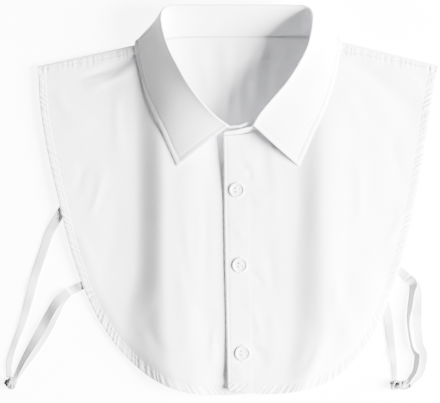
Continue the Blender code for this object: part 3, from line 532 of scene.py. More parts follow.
def shoulder_frame(side):
    """The shoulder edge's tip, neck end, direction and outward normal in plan."""
    tip, neck = (np.array(end) for end in (SHOULDER_LEFT if side < 0 else SHOULDER_RIGHT))
    along = unit(neck - tip)
    outward = np.array([-along[1], along[0]]) * (1.0 if along[0] > 0 else -1.0)
    return tip, neck, along, outward


def seam_point(side, share, depth):
    """A point in plan at a share of the shoulder edge, the given depth inside it."""
    tip, neck, _, outward = shoulder_frame(side)
    return tuple(tip + (neck - tip) * share - outward * depth)


def front_height(points, side):
    """Height of a front's main folds over the table; side is -1 for the left front, 1 for the right."""
    x, y = points[:, 0], points[:, 1]
    fold = [table_value(FOLDS, column, y) for column in range(1, 13)]
    left_x, crease_x, brow_x, foot_x, crest_x, right_x = fold[0::2]
    left_z, crease_z, brow_z, foot_z, crest_z, right_z = fold[1::2]
    flat_x = crease_x + (left_x - crease_x) * CREASE_RUN
    flat_z = left_z + (crease_z - left_z) * CREASE_LEVEL
    fall_x = crest_x + (right_x - crest_x) * CREST_RUN
    fall_z = right_z + (crest_z - right_z) * CREST_LEVEL
    knots = np.stack([left_x, flat_x, crease_x, brow_x, foot_x, crest_x, fall_x, right_x], axis=1)
    values = np.stack([left_z, flat_z, crease_z, brow_z, foot_z, crest_z, fall_z, right_z], axis=1)
    height = across(x, knots, values)
    tip, _, _, outward = shoulder_frame(side)
    below = -((points[:, :2] - tip) @ outward)
    edge = table_value(SHOULDER_TOP, 1, x)
    height = edge + (height - edge) * smooth(below / SHOULDER_BLEND)
    if side < 0:
        sink = table_value(UNDERLAP_SINK, 1, y)
        height = height - sink * smooth((x - SINK_FROM_X) / (SINK_TO_X - SINK_FROM_X))
    return height


def back_height(points):
    """Height of the back panel's outer face, which lifts over the collar that lies under it."""
    x, y = points[:, 0], points[:, 1]
    rise = smooth((y - BACK_LIFT_FROM_Y) / (BACK_LIFT_TO_Y - BACK_LIFT_FROM_Y))
    fade = 1.0 - smooth((np.abs(x) - BACK_LIFT_HALF) / BACK_LIFT_FADE)
    return BACK_LIFT * rise * fade


def creases(points, table):
    """Height that soft folds add: each is a low ridge or trough along a bowed line."""
    total = np.zeros(len(points))
    for x0, y0, x1, y1, width, height, bow in table:
        start, end = np.array([x0, y0]), np.array([x1, y1])
        length = np.linalg.norm(end - start)
        along = (end - start) / length
        offset = points[:, :2] - start
        share = offset @ along / length
        bend = 4.0 * bow * share * (1.0 - share)
        aside = offset @ np.array([-along[1], along[0]]) - bend
        spread = width * (1.0 + 0.35 * np.sin(5.0 * share + x0))
        ends = smooth((share + 0.12) / 0.4) * smooth((1.12 - share) / 0.4)
        total += height * ends * bell(aside, spread)
    return total


def button_hollows(points):
    """Soft hollows where the thread of each button draws the cloth in."""
    depth = np.zeros(len(points))
    for _, x, y, _ in BUTTONS:
        square = (points[:, 0] - x - BUTTON_SHIFT) ** 2 + (points[:, 1] - y) ** 2
        depth += HOLLOW_DEPTH * np.exp(-square / HOLLOW_RADIUS**2)
    return -depth


def stitch_groove(distance, row, depth, spread):
    """The cloth drawn in along a row of stitches."""
    return -depth * bell(distance - row, spread)


def hem_relief(distance, along, pull, slant):
    """The narrow rolled hem: a raised fold, the sunk row of stitches, and small slanted puckers."""
    inside = smooth((HEM_WIDTH + 1.0 - distance) / 1.6)
    fold = HEM_FOLD * inside * smooth((distance + 0.4) / 1.8)
    window = smooth((PUCKER_REACH - distance) / PUCKER_FADE)
    swell = 0.75 + 0.35 * ripple(along, PUCKER_SWELL)
    puckers = pull * window * ripple(along + slant * distance, PUCKER_LENGTH) * swell
    return fold + stitch_groove(distance, HEM_STITCH, 0.30, 0.7) + puckers


def seam_ripples(points, side):
    """Puckers beside a topstitched shoulder seam, in the front's cloth."""
    tip, neck, direction, outward = shoulder_frame(side)
    along = (points[:, :2] - tip) @ direction
    share = np.clip(along / np.linalg.norm(neck - tip), 0.0, 1.0)
    seam = SEAM_AT_TIP + (SEAM_AT_NECK - SEAM_AT_TIP) * share
    below = -((points[:, :2] - tip) @ outward) - seam
    fade = smooth((SEAM_REACH - below) / SEAM_REACH)
    return SEAM_PULL * fade * ripple(along + 0.35 * below, SEAM_PUCKER)


def placket_relief(from_edge, points, side):
    """The doubled band at the buttoning edge: a soft step, its two stitch rows and a rolled edge."""
    below_neck = smooth((PLACKET_TOP_Y - points[:, 1]) / 4.0)
    if side < 0:
        return -UNDER_STEP * below_neck * smooth((from_edge - PLACKET_WIDTH) / 1.5)
    band = PLACKET_STEP * smooth((PLACKET_WIDTH - from_edge) / 1.4)
    outer_row = stitch_groove(from_edge, EDGE_STITCH, 0.26, 0.7)
    inner_row = stitch_groove(from_edge, PLACKET_STITCH, 0.30, 0.8)
    roll = -0.45 * smooth((1.1 - from_edge) / 1.1)
    pull = 0.10 * bell(from_edge - PLACKET_STITCH, 4.0) * ripple(points[:, 1], 7.1)
    return below_neck * (band + outer_row + inner_row + roll + pull)


def front_outline(side):
    """The front's hem and its inner side, buttoning edge then neckline, as in the solid."""
    hem = LEFT_HEM if side < 0 else RIGHT_HEM
    edge = LEFT_FRONT_EDGE if side < 0 else RIGHT_FRONT_EDGE
    neckline = LEFT_NECKLINE if side < 0 else RIGHT_NECKLINE
    hem = (*hem[:-1], seam_point(side, 0.0, SEAM_AT_TIP + SEAM_GAP))
    neckline = (*neckline[:-1], seam_point(side, 1.0, SEAM_AT_NECK + SEAM_GAP))
    return hem, edge, neckline


def hem_place(points, side):
    """Distance of points to a front's hem, and how far along it they lie."""
    hem, _, _ = front_outline(side)
    return curve_distance(points, spline(hem, HEM_SAMPLES))


def front_surface(points, side):
    """Height of a front with all its relief."""
    distance, along = hem_place(points, side)
    edge = np.array(front_outline(side)[1])
    from_edge = np.abs(points[:, 0] - np.interp(points[:, 1], edge[:, 1], edge[:, 0]))
    height = front_height(points, side) + creases(points, FRONT_CREASES) + button_hollows(points)
    low = smooth((HEM_TURN_Y - points[:, 1]) / HEM_TURN_RUN)
    slant = HEM_SLANT * (1.0 - 2.0 * low)
    height += hem_relief(distance, along, FRONT_PULL, slant) + seam_ripples(points, side)
    height += HEM_RISE * low * smooth((distance - 2.0) / HEM_RISE_RUN)
    return height + placket_relief(from_edge, points, side)


def nearer_front(points, height):
    """A height read on whichever front lies under each point."""
    return np.where(points[:, 0] < 0.0, height(points, -1), height(points, 1))


def front_points(side):
    """The front's face with its folds, placket and hem; also its walls."""
    hem, edge, neckline = front_outline(side)
    edge_length, neck_length = (sum(map(math.dist, line, line[1:])) for line in (edge[1:], neckline))
    edge_rows = round(FRONT_ROWS * edge_length / (edge_length + neck_length))
    inner = np.concatenate([spline(edge[1:], edge_rows), spline(neckline, FRONT_ROWS - edge_rows + 1)[1:]])
    plan = ruled(inner, spline(hem, FRONT_ROWS), FRONT_SPACING)
    flat = plan.reshape(-1, 2)
    walls = np.where(hem_place(flat, side)[0] < HEM_WIDTH, HEM_WALL, PANEL_WALL)
    return raised(plan, front_surface(flat, side)), walls.reshape(plan.shape[:2])


def shoulder_flange(side, shares):
    """The back panel's cloth on the front side of the shoulder, its puckers, and its turn to the back."""
    tip, neck, _, outward = shoulder_frame(side)
    edge = tip + (neck - tip) * shares[:, None]
    along = shares * np.linalg.norm(neck - tip)
    start = edge - outward * TURN_RADIUS
    low, top = back_height(start), front_height(start, side)
    seam = SEAM_AT_TIP + (SEAM_AT_NECK - SEAM_AT_TIP) * shares
    rows = []
    for share in np.linspace(0.0, 1.0, FLANGE_ROWS):
        depth = seam + (TURN_RADIUS - seam) * share
        plan = edge - outward * depth[:, None]
        arch = math.sin(math.pi * share)
        swell = 0.30 * arch + 0.45 * arch**0.5 * ripple(along, SEAM_PUCKER)
        groove = stitch_groove(depth, 1.2, 0.25, 0.8) if share > 0 else 0.0
        rows.append(np.column_stack([plan, front_height(plan, side) + swell + groove * (1.0 - share)]))
    for centre, first, last in ((top - TURN_RADIUS, 90.0, 0.0), (low + TURN_RADIUS, 0.0, -90.0)):
        for angle in np.radians(np.linspace(first, last, TURN_ROWS)):
            if angle < math.radians(89.0):
                reach = TURN_RADIUS * math.cos(angle) + 0.10 * math.cos(angle) * ripple(along, 8.3)
                plan = start + outward * reach[:, None]
                rows.append(np.column_stack([plan, centre + TURN_RADIUS * math.sin(angle)]))
    return np.array(rows)


def back_points():
    """The back panel's underside from one shoulder seam round to the other."""
    turns = []
    for side in (-1, 1):
        tip, neck, _, _ = shoulder_frame(side)
        length = np.linalg.norm(neck - tip)
        turns.append(shoulder_flange(side, 1.0 - spaced(length, *BACK_SPACING) / length))
    first, last = (turn[-1, :, :2] for turn in turns)
    hem = (first[-1], *BACK_HEM[1:-1], last[-1])
    inner = spline((first[0], *BACK_NECKLINE[1:-1], last[0]), BACK_ROWS)
    plan = ruled(inner, spline(hem, BACK_ROWS), BACK_SPACING)
    plan[0], plan[-1] = first, last
    flat = plan.reshape(-1, 2)
    distance, along = curve_distance(flat, spline(hem, HEM_SAMPLES))
    apart = smooth((BACK_RELIEF_TOP_Y - flat[:, 1]) / BACK_RELIEF_RUN)
    relief = np.maximum(hem_relief(distance, along, BACK_PULL, HEM_SLANT), 0.0) * apart
    grid = raised(plan, back_height(flat) + relief + np.maximum(creases(flat, BACK_CREASES), 0.0))
    grid[0, :, 2], grid[-1, :, 2] = turns[0][-1, :, 2], turns[1][-1, :, 2]
    return np.concatenate([turns[0], grid[1:-1], turns[1][::-1]])


def collar_rows():
    """The collar table's rows for the whole ring, left front end round to right front end."""
    ring = []
    for side in (-1, 1):
        half = []
        for roll, seam, edge, leaf in COLLAR:
            roll_x = -roll[0] if side < 0 else roll[1]
            seam_y = seam[1] if side < 0 else seam[2]
            edge_y = edge[1] if side < 0 else edge[2]
            plan = (roll_x, roll[2], side * seam[0] + RING_SHIFT, seam_y, side * edge[0], edge_y)
            half.append((*plan, roll[3], *seam[3:], *edge[3:], *leaf))
        ring.append(half)
    return np.array(ring[0] + ring[1][-2::-1], float)


def collar_sections():
    """Sections of the collar about a step apart, with the table's columns by name."""
    rows = collar_rows()
    lengths = np.linalg.norm(np.diff(rows[:, [0, 1, 4, 5]], axis=0), axis=1)
    knots = np.concatenate([[0.0], np.cumsum(lengths)])
    counts = np.maximum(2, np.round(lengths / LEAF_STEP)).astype(int)
    pieces = [np.linspace(*knots[i : i + 2], count, endpoint=False) for i, count in enumerate(counts)]
    at = np.concatenate([*pieces, knots[-1:]])
    slopes = even_slopes(np.tile(knots, (rows.shape[1], 1)), rows.T).T
    slopes[:, :PLAN_COLUMNS] = np.gradient(rows[:, :PLAN_COLUMNS], knots, axis=0)
    table = hermite(knots, rows, slopes, at)
    heights = ("roll_z", "seam_z", "seam_follows", "inset", "edge_z", "edge_follows")
    shape = ("bend", "bend_lift", "lay", "lay_lift")
    sections = {name: table[:, [PLAN_COLUMNS + index]] for index, name in enumerate(heights + shape)}
    sections["roll"] = np.column_stack([table[:, 0:2], sections["roll_z"]])
    sections["seam"] = table[:, 2:4]
    sections["edge"] = table[:, 4:6]
    return sections


def stand_feet(table):
    """The line of the stand's foot, just inside the neck seam."""
    follow = table["seam_follows"]
    front = nearer_front(table["seam"], front_height)[:, None]
    foot_z = table["seam_z"] * (1.0 - follow) + (front - FOOT_DEPTH) * follow
    toward = unit(table["roll"][:, :2] - table["seam"])
    return np.column_stack([table["seam"] + toward * table["inset"], foot_z])


def end_sections(rows, side):
    """Top and foot points of the stand's front end."""
    top = np.array([row[:3] for row in rows])
    plan = np.array([row[3:] for row in rows])
    return top, np.column_stack([plan, front_height(plan, side) - FOOT_DEPTH])


def leaf_points():
    """The leaf's outer face: from its join inside the neck, over the roll, to its stitched edge."""
    table = collar_sections()
    roll, follow = table["roll"], table["edge_follows"]
    down = unit(stand_feet(table) - roll)
    front = nearer_front(table["edge"], front_surface)[:, None]
    edge = np.column_stack([table["edge"], table["edge_z"] * (1.0 - follow) + (front + LEAF_LIE) * follow])
    up = np.array(UP)
    out = np.column_stack([plan_normals(roll), np.zeros(len(roll))])
    bend = roll + (edge - roll) * table["bend"] + up * table["bend_lift"]
    lay = roll + (edge - roll) * table["lay"] + up * table["lay_lift"]
    bend[:, 2], lay[:, 2] = np.maximum(bend[:, 2], 0.0), np.maximum(lay[:, 2], 0.0)
    top = roll + out * (ROLL_CROWN * ROLL_OUT) + up * ROLL_RISE
    outer = roll + out * ROLL_OUT - up * ROLL_FALL
    controls = [roll + down * JOIN_DEPTH, roll + down * ROLL_START, top, outer, bend, lay, edge]
    sections = []
    for curve in bspline(controls, LEAF_SAMPLES):
        run = run_along(curve)
        sections.append(read_line(curve, run, spaced(run[-1], *LEAF_SPACING)))
    return np.array(sections)


def finer_end(rows, next_row):
    """More rows of points for one of the stand's front ends."""
    path = np.vstack([rows, next_row])
    return read_line(path, np.linspace(0.0, 1.0, len(path)), np.linspace(0.0, 1.0, END_SAMPLES + 1)[:-1])


def stand_points():
    """The stand's face towards the neck, with the ends that overlap at the front."""
    table = collar_sections()
    feet = stand_feet(table)
    tops = table["roll"] + unit(feet - table["roll"]) * (JOIN_DEPTH + JOIN_GAP)
    lines = []
    for line, under, over in zip((tops, feet), end_sections(UNDER_END, -1), end_sections(OVER_END, 1)):
        lines.append(np.concatenate([finer_end(under, line[0]), line, finer_end(over[::-1], line[-1])[::-1]]))
    upper, lower = lines
    near_top = upper + (lower - upper) * 0.35
    near_foot = upper + (lower - upper) * 0.7 - np.array(UP) * STAND_SAG
    return bspline([upper, near_top, near_foot, lower], STAND_SAMPLES)


def paint(colour):
    """An sRGB hex colour as linear RGBA."""
    parts = [int(colour[index : index + 2], 16) / 255.0 for index in (1, 3, 5)]
    return (*[part / 12.92 if part <= 0.04045 else ((part + 0.055) / 1.055) ** 2.4 for part in parts], 1.0)


def feed(tree, sockets, values):
    """Gives each socket a value or another node's output."""
    for key, value in values.items():
        if isinstance(value, bpy.types.NodeSocket):
            tree.links.new(value, sockets[key])
        else:
            sockets[key].default_value = value


def add(tree, kind, output, inputs=None, **settings):
    """Adds a node with its settings and inputs; returns one of its outputs."""
    node = tree.nodes.new(kind)
    for name, value in settings.items():
        setattr(node, name, value)
    feed(tree, node.inputs, inputs or {})
    return node.outputs[output]


def cut_map(tree):
    """Place on the cut cloth or elastic, in metres."""
    return add(tree, "ShaderNodeUVMap", "UV", uv_map="cut")


def object_map(tree):
    """Place in the object's own frame."""
    return add(tree, "ShaderNodeTexCoord", "Object")


def threads(tree, place, period_mm, direction="X", **inputs):
    """Parallel threads, ribs or swirls of that spacing."""
    inputs = {"Vector": place, "Scale": 2.0 * math.pi / (20.0 * period_mm * MM), **inputs}
    return add(tree, "ShaderNodeTexWave", "Fac", inputs, bands_direction=direction)


def noise(tree, place, scale, detail, **inputs):
    """Soft uneven patches."""
    inputs = {"Vector": place, "Scale": scale, "Detail": detail, **inputs}
    return add(tree, "ShaderNodeTexNoise", "Fac", inputs)


def product(tree, first, second):
    """Two patterns multiplied."""
    return add(tree, "ShaderNodeMath", 0, {0: first, 1: second}, operation="MULTIPLY")


def relief(tree, height, strength, distance, **inputs):
    """The normal of a pattern in relief."""
    inputs = {"Height": height, "Strength": strength, "Distance": distance, **inputs}
    return add(tree, "ShaderNodeBump", "Normal", inputs)


def tint(tree, share, first, second):
    """A colour between two others."""
    return add(tree, "ShaderNodeMix", 2, {0: share, 6: first, 7: second}, data_type="RGBA")


def material(name, build, *values):
    """The named material, built on its first use."""
    made = bpy.data.materials.get(name)
    if made is None:
        made = bpy.data.materials.new(name)
        made.use_nodes = True
        tree = made.node_tree
        feed(tree, tree.nodes["Principled BSDF"].inputs, build(tree, *values))
    return made


def woven_cotton(tree, light, shade, crumple):
    """Plain-woven cotton: matt, with crossing threads, a few thicker yarns and faint handling creases."""
    cut, place = cut_map(tree), object_map(tree)
    # Threads of the real poplin are 0.2 mm apart, too fine for the picture; they are drawn at 0.7 mm.
    warp, weft = (threads(tree, cut, 0.7, way, Distortion=0.4) for way in ("X", "Y"))
    long_yarn = add(tree, "ShaderNodeMapping", 0, {"Vector": cut, "Scale": (900.0, 40.0, 1.0)})
    weave = relief(tree, product(tree, warp, weft), 0.16, 0.00012)
    yarns = relief(tree, noise(tree, long_yarn, 1.0, 2.0), 0.12, 0.0001, Normal=weave)
    handling = noise(tree, place, 46.0, 5.0, Roughness=0.55)
    return {
        "Base Color": tint(tree, noise(tree, place, 18.0, 3.0), paint(light), paint(shade)),
        "Normal": relief(tree, handling, crumple, 0.002, Normal=yarns),
        "Roughness": 0.88,
        "Specular IOR Level": 0.25,
        "Sheen Weight": 0.08,
    }


def cotton_poplin():
    """Single poplin of the fronts and the back."""
    return material("poplin_cotton_woven", woven_cotton, "#F4F4F6", "#EFEFF2", 0.21)


def collar_poplin():
    """Poplin over fused interlining, which lies smoother."""
    return material("poplin_cotton_interlined", woven_cotton, "#F5F5F7", "#F1F1F4", 0.05)


def knitted_elastic(tree, low, high):
    """Braided polyester elastic: lengthwise ribs over a fine crosswise rubber core, with greyer patches of painted
    shade where it twists.
    """
    cut = cut_map(tree)
    braid = product(tree, threads(tree, cut, 1.3, Distortion=0.3), threads(tree, cut, 0.9, "Y"))
    # Painted shade: uneven greyer patches stand in for the shade that falls where the elastic twists and curls.
    patch = noise(tree, object_map(tree), 52.0, 2.0)
    twist_shade_patches = add(tree, "ShaderNodeMapRange", 0, {0: patch, 1: 0.46, 2: 0.66, 3: 0.0, 4: 0.55})
    return {
        "Base Color": tint(tree, twist_shade_patches, tint(tree, braid, paint(low), paint(high)), paint("#BDBDC0")),
        "Normal": relief(tree, braid, 0.5, 0.0002),
        "Roughness": 0.62,
        "Sheen Weight": 0.15,
    }


def flat_elastic():
    """The elastic of the straps."""
    return material("elastic_polyester_braided", knitted_elastic, "#D2D2D4", "#EEEEEF")


def knot_elastic_painted_shade():
    """The elastic of the knots, painted dark grey as the shade in the crevices between their turns."""
    return material("elastic_polyester_knot_painted_shade", knitted_elastic, "#606064", "#C6C6C9")


def spun_polyester(tree):
    """Spun polyester: bright white, with the twist of its two plies."""
    twist = threads(tree, object_map(tree), 0.5, "DIAGONAL")
    return {
        "Base Color": tint(tree, twist, paint("#E9E9EB"), paint("#FAFAFB")),
        "Normal": relief(tree, twist, 0.3, 0.0001),
        "Roughness": 0.55,
    }


def sewing_thread():
    """The white sewing thread."""
    return material("thread_polyester_spun", spun_polyester)


def cast_pearl(tree):
    """Cast polyester resin with a mother-of-pearl swirl, turned and polished."""
    swirl = threads(tree, object_map(tree), 7.0, "DIAGONAL", Distortion=5.0, Detail=2.0)
    return {
        "Base Color": tint(tree, swirl, paint("#E6E6E6"), paint("#F6F6F6")),
        "Roughness": 0.22,
        "IOR": 1.54,
        "Coat Weight": 0.25,
        "Subsurface Weight": 0.08,
        "Subsurface Scale": 0.002,
    }


def pearl_resin():
    """The resin of the buttons."""
    return material("resin_polyester_pearl", cast_pearl)


def backdrop_paper(tree, glow):
    """Matt white paper of a light table, lit from below so that it shows plain white."""
    grain = noise(tree, object_map(tree), 900.0, 2.0)
    # The camera sees the whole glow, and the cloth receives the part of it that strays upwards.
    ray = add(tree, "ShaderNodeLightPath", "Is Camera Ray")
    return {
        "Base Color": paint("#FAFAFA"),
        "Normal": relief(tree, grain, 0.03, 0.0002),
        "Emission Color": paint("#FFFFFF"),
        "Emission Strength": add(tree, "ShaderNodeMapRange", 0, {0: ray, 3: glow * PAPER_SPILL, 4: glow}),
        "Roughness": 0.95,
        "Specular IOR Level": 0.1,
    }


def select_only(item):
    """Selects one object and makes it active."""
    bpy.ops.object.select_all(action="DESELECT")
    item.select_set(True)
    bpy.context.view_layer.objects.active = item


def grid_piece(name, points, wall, walls=None, flip=False):
    """A grid primitive laid over rows of points, with a real wall and a UV map in metres."""
    rows, columns = points.shape[:2]
    bpy.ops.mesh.primitive_grid_add(x_subdivisions=columns - 1, y_subdivisions=rows - 1, size=1.0)
    item = bpy.context.object
    item.name = item.data.name = name
    item.data.vertices.foreach_set("co", (points * MM).ravel())
    item.data.update()
    across_run, _, along_run, _ = margins(points)
    uv = np.stack([across_run, along_run], axis=2).reshape(-1, 2) * MM
    corners = np.empty(len(item.data.loops), int)
    item.data.loops.foreach_get("vertex_index", corners)
    item.data.uv_layers[0].name = "cut"
    item.data.uv_layers[0].data.foreach_set("uv", uv[corners].ravel())
    if flip:
        item.data.flip_normals()
    solidify = item.modifiers.new("wall", "SOLIDIFY")
    solidify.thickness = wall * MM
    solidify.offset = -1.0
    if walls is not None:
        group = item.vertex_groups.new(name="wall")
        shares = np.round(walls / wall, 3).ravel()
        for share in np.unique(shares):
            group.add(np.flatnonzero(shares == share).tolist(), float(share), "REPLACE")
        solidify.vertex_group = "wall"
    bpy.ops.object.modifier_apply(modifier="wall")
    bpy.ops.object.shade_smooth_by_angle(angle=math.radians(50.0))
    return item


def finish_piece(item, finish, slot, *nodes):
    """Gives a piece its material, its place on the frame and the solids it stands for."""
    item.data.materials.clear()
    item.data.materials.append(finish)
    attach(item, "root")
    if nodes:
        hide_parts(*nodes)
    return item


def make_front(side):
    """One front with its hem, and its placket or button band."""
    name = "cloth_front_over" if side > 0 else "cloth_front_under"
    node = "front_over" if side > 0 else "front_under"
    points, walls = front_points(side)
    item = grid_piece(name, points, HEM_WALL, walls, flip=side < 0)
    finish_piece(item, cotton_poplin(), "white_cotton", node)


def make_back():
    """The back panel, turned over both shoulders."""
    item = grid_piece("cloth_back", back_points(), PANEL_WALL, flip=True)
    finish_piece(item, cotton_poplin(), "white_cotton", "back_panel")


def make_leaf():
    """The collar's leaf with its stitched margin."""
    points = leaf_points()
    _, to_edge, along, to_end = margins(points)
    margin = np.minimum(to_edge, to_end)
    swell = stitch_groove(margin, LEAF_STITCH, 0.30, 0.75) + 0.12 * smooth((LEAF_STITCH - margin) / 2.0)
    swell += 0.28 * smooth((LEAF_STITCH + 1.0 - to_edge) / 5.0) - 0.20 * smooth((0.6 - margin) / 0.6)
    swell += 0.10 * ripple(along, 23.0) * smooth((to_edge - 2.0) / 12.0) * smooth((40.0 - to_edge) / 20.0)
    shaped = points + grid_normals(points) * swell[..., None]
    shaped[..., 2] = np.maximum(shaped[..., 2], 0.0)
    item = grid_piece("cloth_leaf", shaped, LEAF_WALL, flip=True)
    finish_piece(item, collar_poplin(), "white_cotton", "collar_leaf")


def make_stand():
    """The collar's stand with its two stitched edges, drawn in at its front ends."""
    points = stand_points()
    from_top, from_foot, along, to_end = margins(points)
    drawn = smooth((END_PUCKER_REACH - to_end) / END_PUCKER_FADE)
    sunk = stitch_groove(from_top, 2.0, 0.22, 0.7)
    sunk += stitch_groove(from_foot, STAND_STITCH, 0.22 + 0.40 * drawn, 0.8)
    sunk += 0.12 * ripple(along, 31.0) * smooth(from_top / 8.0) * smooth(from_foot / 8.0)
    sunk += 0.28 * ripple(along + 0.6 * from_top, 7.5) * drawn * smooth(from_top / 2.0)
    item = grid_piece("cloth_stand", points - grid_normals(points) * sunk[..., None], PANEL_WALL)
    finish_piece(item, collar_poplin(), "white_cotton", "collar_stand")


def strap_line(rows):
    """A smooth line through a strap's rows in fine steps."""
    total = sum(math.dist(first[:2], second[:2]) for first, second in zip(rows, rows[1:]))
    return spline(rows, round(total / STRAP_GRAIN) + 1)


def strap_piece(name, centres, headings, halves, tilts, selvedge, node):
    """A strap whose rows are turned about its own line, and its edges rounded by the selvedge's depth."""
    shares = np.linspace(-1.0, 1.0, BAND_POINTS)
    turned = np.radians(tilts)[:, None]
    level = np.column_stack([-headings[:, 1], headings[:, 0], np.zeros(len(headings))])
    sides = level * np.cos(turned) + np.array(UP) * np.sin(turned)
    faces = np.cross(sides, np.column_stack([headings, np.zeros(len(headings))])) * -1.0
    crown = -selvedge * np.abs(shares) ** 6
    reach = -shares[None, :, None] * halves[:, None, None]
    points = centres[:, None, :] + sides[:, None, :] * reach + faces[:, None, :] * crown[None, :, None]
    finish_piece(grid_piece(name, points, STRAP_DRAWN), flat_elastic(), "white_elastic", node)


def make_flat_strap(name, rows, node):
    """A single strap on the table, which rocks a little along its length."""
    line = strap_line(rows)
    run = np.arange(len(line)) * STRAP_GRAIN
    ends = smooth(run / 12.0) * smooth((run[-1] - run) / 12.0)
    tilts = ROCK_ANGLE * ripple(run + rows[0][0], ROCK_LENGTH) * ends
    halves = line[:, 3] / 2.0
    centres = line[:, :3].copy()
    centres[:, 2] = np.maximum(centres[:, 2], STRAP_WALL) + halves * np.abs(np.sin(np.radians(tilts)))
    strap_piece(name, centres, plan_headings(line), halves, tilts, SELVEDGE, node)


def loop_layer(line, headings, way, tilts, flat_z, edge_z):
    """One layer of a doubled strap: it keeps the solid's outer edge and turns up on it."""
    turned = np.abs(np.radians(tilts))
    halves = np.minimum(line[:, 2] / 2.0, EDGE_HALF / np.maximum(np.sin(turned), 0.01))
    offset = way * (line[:, 3] / 2.0 + line[:, 2] / 2.0 - halves * np.cos(turned))
    sideways = np.column_stack([headings[:, 1], -headings[:, 0]])
    height = flat_z + (edge_z - flat_z) * smooth(turned / math.radians(30.0)) + halves * np.sin(turned)
    return np.column_stack([line[:, :2] + sideways * offset[:, None], height]), halves


def make_loop(name, rows, node):
    """A doubled strap: one layer on the table, a fold at the tab, and the other layer on top."""
    line = strap_line(rows)
    heading = plan_headings(line)
    top_z = 2.0 * STRAP_WALL + FOLD_GAP
    lower, lower_halves = loop_layer(line, heading, -1.0, line[:, 4], 0.0, 0.0)
    upper, upper_halves = loop_layer(line, heading, 1.0, line[:, 5], top_z, STRAP_WALL)
    turn = []
    for step in range(1, 10):
        angle = math.pi * (step / 10.0 - 0.5)
        bend = line[0, :2] - heading[0] * top_z / 2.0 * math.cos(angle)
        turn.append([*bend, top_z / 2.0 * (1.0 + math.sin(angle))])
    centres = np.concatenate([lower[::-1], np.array(turn), upper])
    headings = np.concatenate([heading[::-1], np.repeat(heading[:1], len(turn), axis=0), heading])
    halves = np.concatenate([lower_halves[::-1], np.repeat(lower_halves[:1], len(turn)), upper_halves])
    tilts = np.concatenate([line[::-1, 4], np.zeros(len(turn)), line[:, 5]])
    strap_piece(name, centres, headings, halves, tilts, 0.0, node)


def make_link(side, x, y, width, length):
    """The small knot where a side's straps meet: turns of squeezed elastic round one another."""
    turns = []
    for major, minor, lean, spin, shift in KNOT_TURNS[side]:
        bpy.ops.mesh.primitive_torus_add(
            major_segments=56, minor_segments=18, major_radius=major * MM, minor_radius=minor * MM, generate_uvs=True
        )
        turn = bpy.context.object
        for vert in turn.data.vertices:
            angle = math.atan2(vert.co.y, vert.co.x)
            pinch = 1.0 + 0.14 * math.sin(3.0 * angle + lean) + 0.05 * math.sin(11.0 * angle)
            vert.co.x *= pinch * width / KNOT_WIDTH
            vert.co.y *= pinch * length / KNOT_LENGTH
            vert.co.z *= KNOT_HEIGHT
        turn.rotation_euler = (math.radians(lean), math.radians(lean * 0.4), math.radians(spin))
        turn.location = Vector((x + shift[0], y + shift[1], shift[2])) * MM
        bpy.ops.object.transform_apply(location=True, rotation=True, scale=True)
        turns.append(turn)
    for turn in turns:
        turn.select_set(True)
    bpy.context.view_layer.objects.active = turns[0]
    bpy.ops.object.join()
    item = bpy.context.object
    item.name = item.data.name = f"elastic_knot_{side}"
    for vert in item.data.vertices:
        vert.co.z = max(vert.co.z, KNOT_FLOOR * MM)
    bpy.ops.object.shade_smooth()
    item.data.uv_layers[0].name = "cut"
    # Painted shade: the knots' elastic is coloured dark grey for the shade between their turns.
    finish_piece(item, knot_elastic_painted_shade(), "white_elastic", f"strap_link_{side}")


def make_stitches(name, paths, settings):
    """Machine stitches along paths of points and normals: one is modelled, then set end to end."""
    length, pitch, radius = settings.stitch_length / MM, settings.stitch_pitch / MM, settings.thread_width / MM / 2.0
    bpy.ops.mesh.primitive_uv_sphere_add(segments=6, ring_count=4, radius=1.0)
    item = bpy.context.object
    shape = np.array([vert.co[:] for vert in item.data.vertices])
    faces = [list(face.vertices) for face in item.data.polygons]
    points, corners = [], []
    for path in paths:
        run = run_along(path[:, :3])
        for start in np.arange(0.5 * pitch, run[-1] - length, pitch):
            first, last = read_line(path, run, np.array([start, start + length]))
            along = unit(last[:3] - first[:3])
            side = unit(np.cross(first[3:], along))
            axes = np.array([along * length / 2.0, side * radius, np.cross(along, side) * radius])
            corners += [[len(points) * len(shape) + corner for corner in face] for face in faces]
            points.append((first[:3] + last[:3]) / 2.0 + shape @ axes)
    mesh = bpy.data.meshes.new(name)
    mesh.from_pydata((np.concatenate(points) * MM).tolist(), [], corners)
    item.data, old = mesh, item.data
    bpy.data.meshes.remove(old)
    item.name = name
    bpy.ops.object.shade_smooth()
    finish_piece(item, sewing_thread(), "white_cotton")


def lifted(points):
    """A stitch path just above level points."""
    return np.column_stack([points[:, :2], points[:, 2] + STITCH_LIFT, np.tile(UP, (len(points), 1))])


def front_path(plan, side):
    """A stitch path on a front."""
    return lifted(np.column_stack([plan, front_surface(plan, side)]))


def hem_path(side):
    """Stitch row in the front's hem."""
    curve = spline(front_outline(side)[0], 500, 0.004, 0.996)
    return front_path(curve + side * HEM_STITCH * plan_normals(curve), side)


def placket_path(from_edge):
    """A stitch row along the buttoning edge of the over front."""
    edge = np.array(RIGHT_FRONT_EDGE)
    y = np.linspace(edge[0, 1] + 1.0, 52.0, 300)
    return front_path(np.column_stack([np.interp(y, edge[:, 1], edge[:, 0]) + from_edge, y]), 1)


def shoulder_path(side):
    """The topstitch on the back panel's cloth, just above the shoulder seam."""
    flange = shoulder_flange(side, np.linspace(0.01, 0.985, 160))
    return lifted(flange[1] * 0.8 + flange[2] * 0.2)


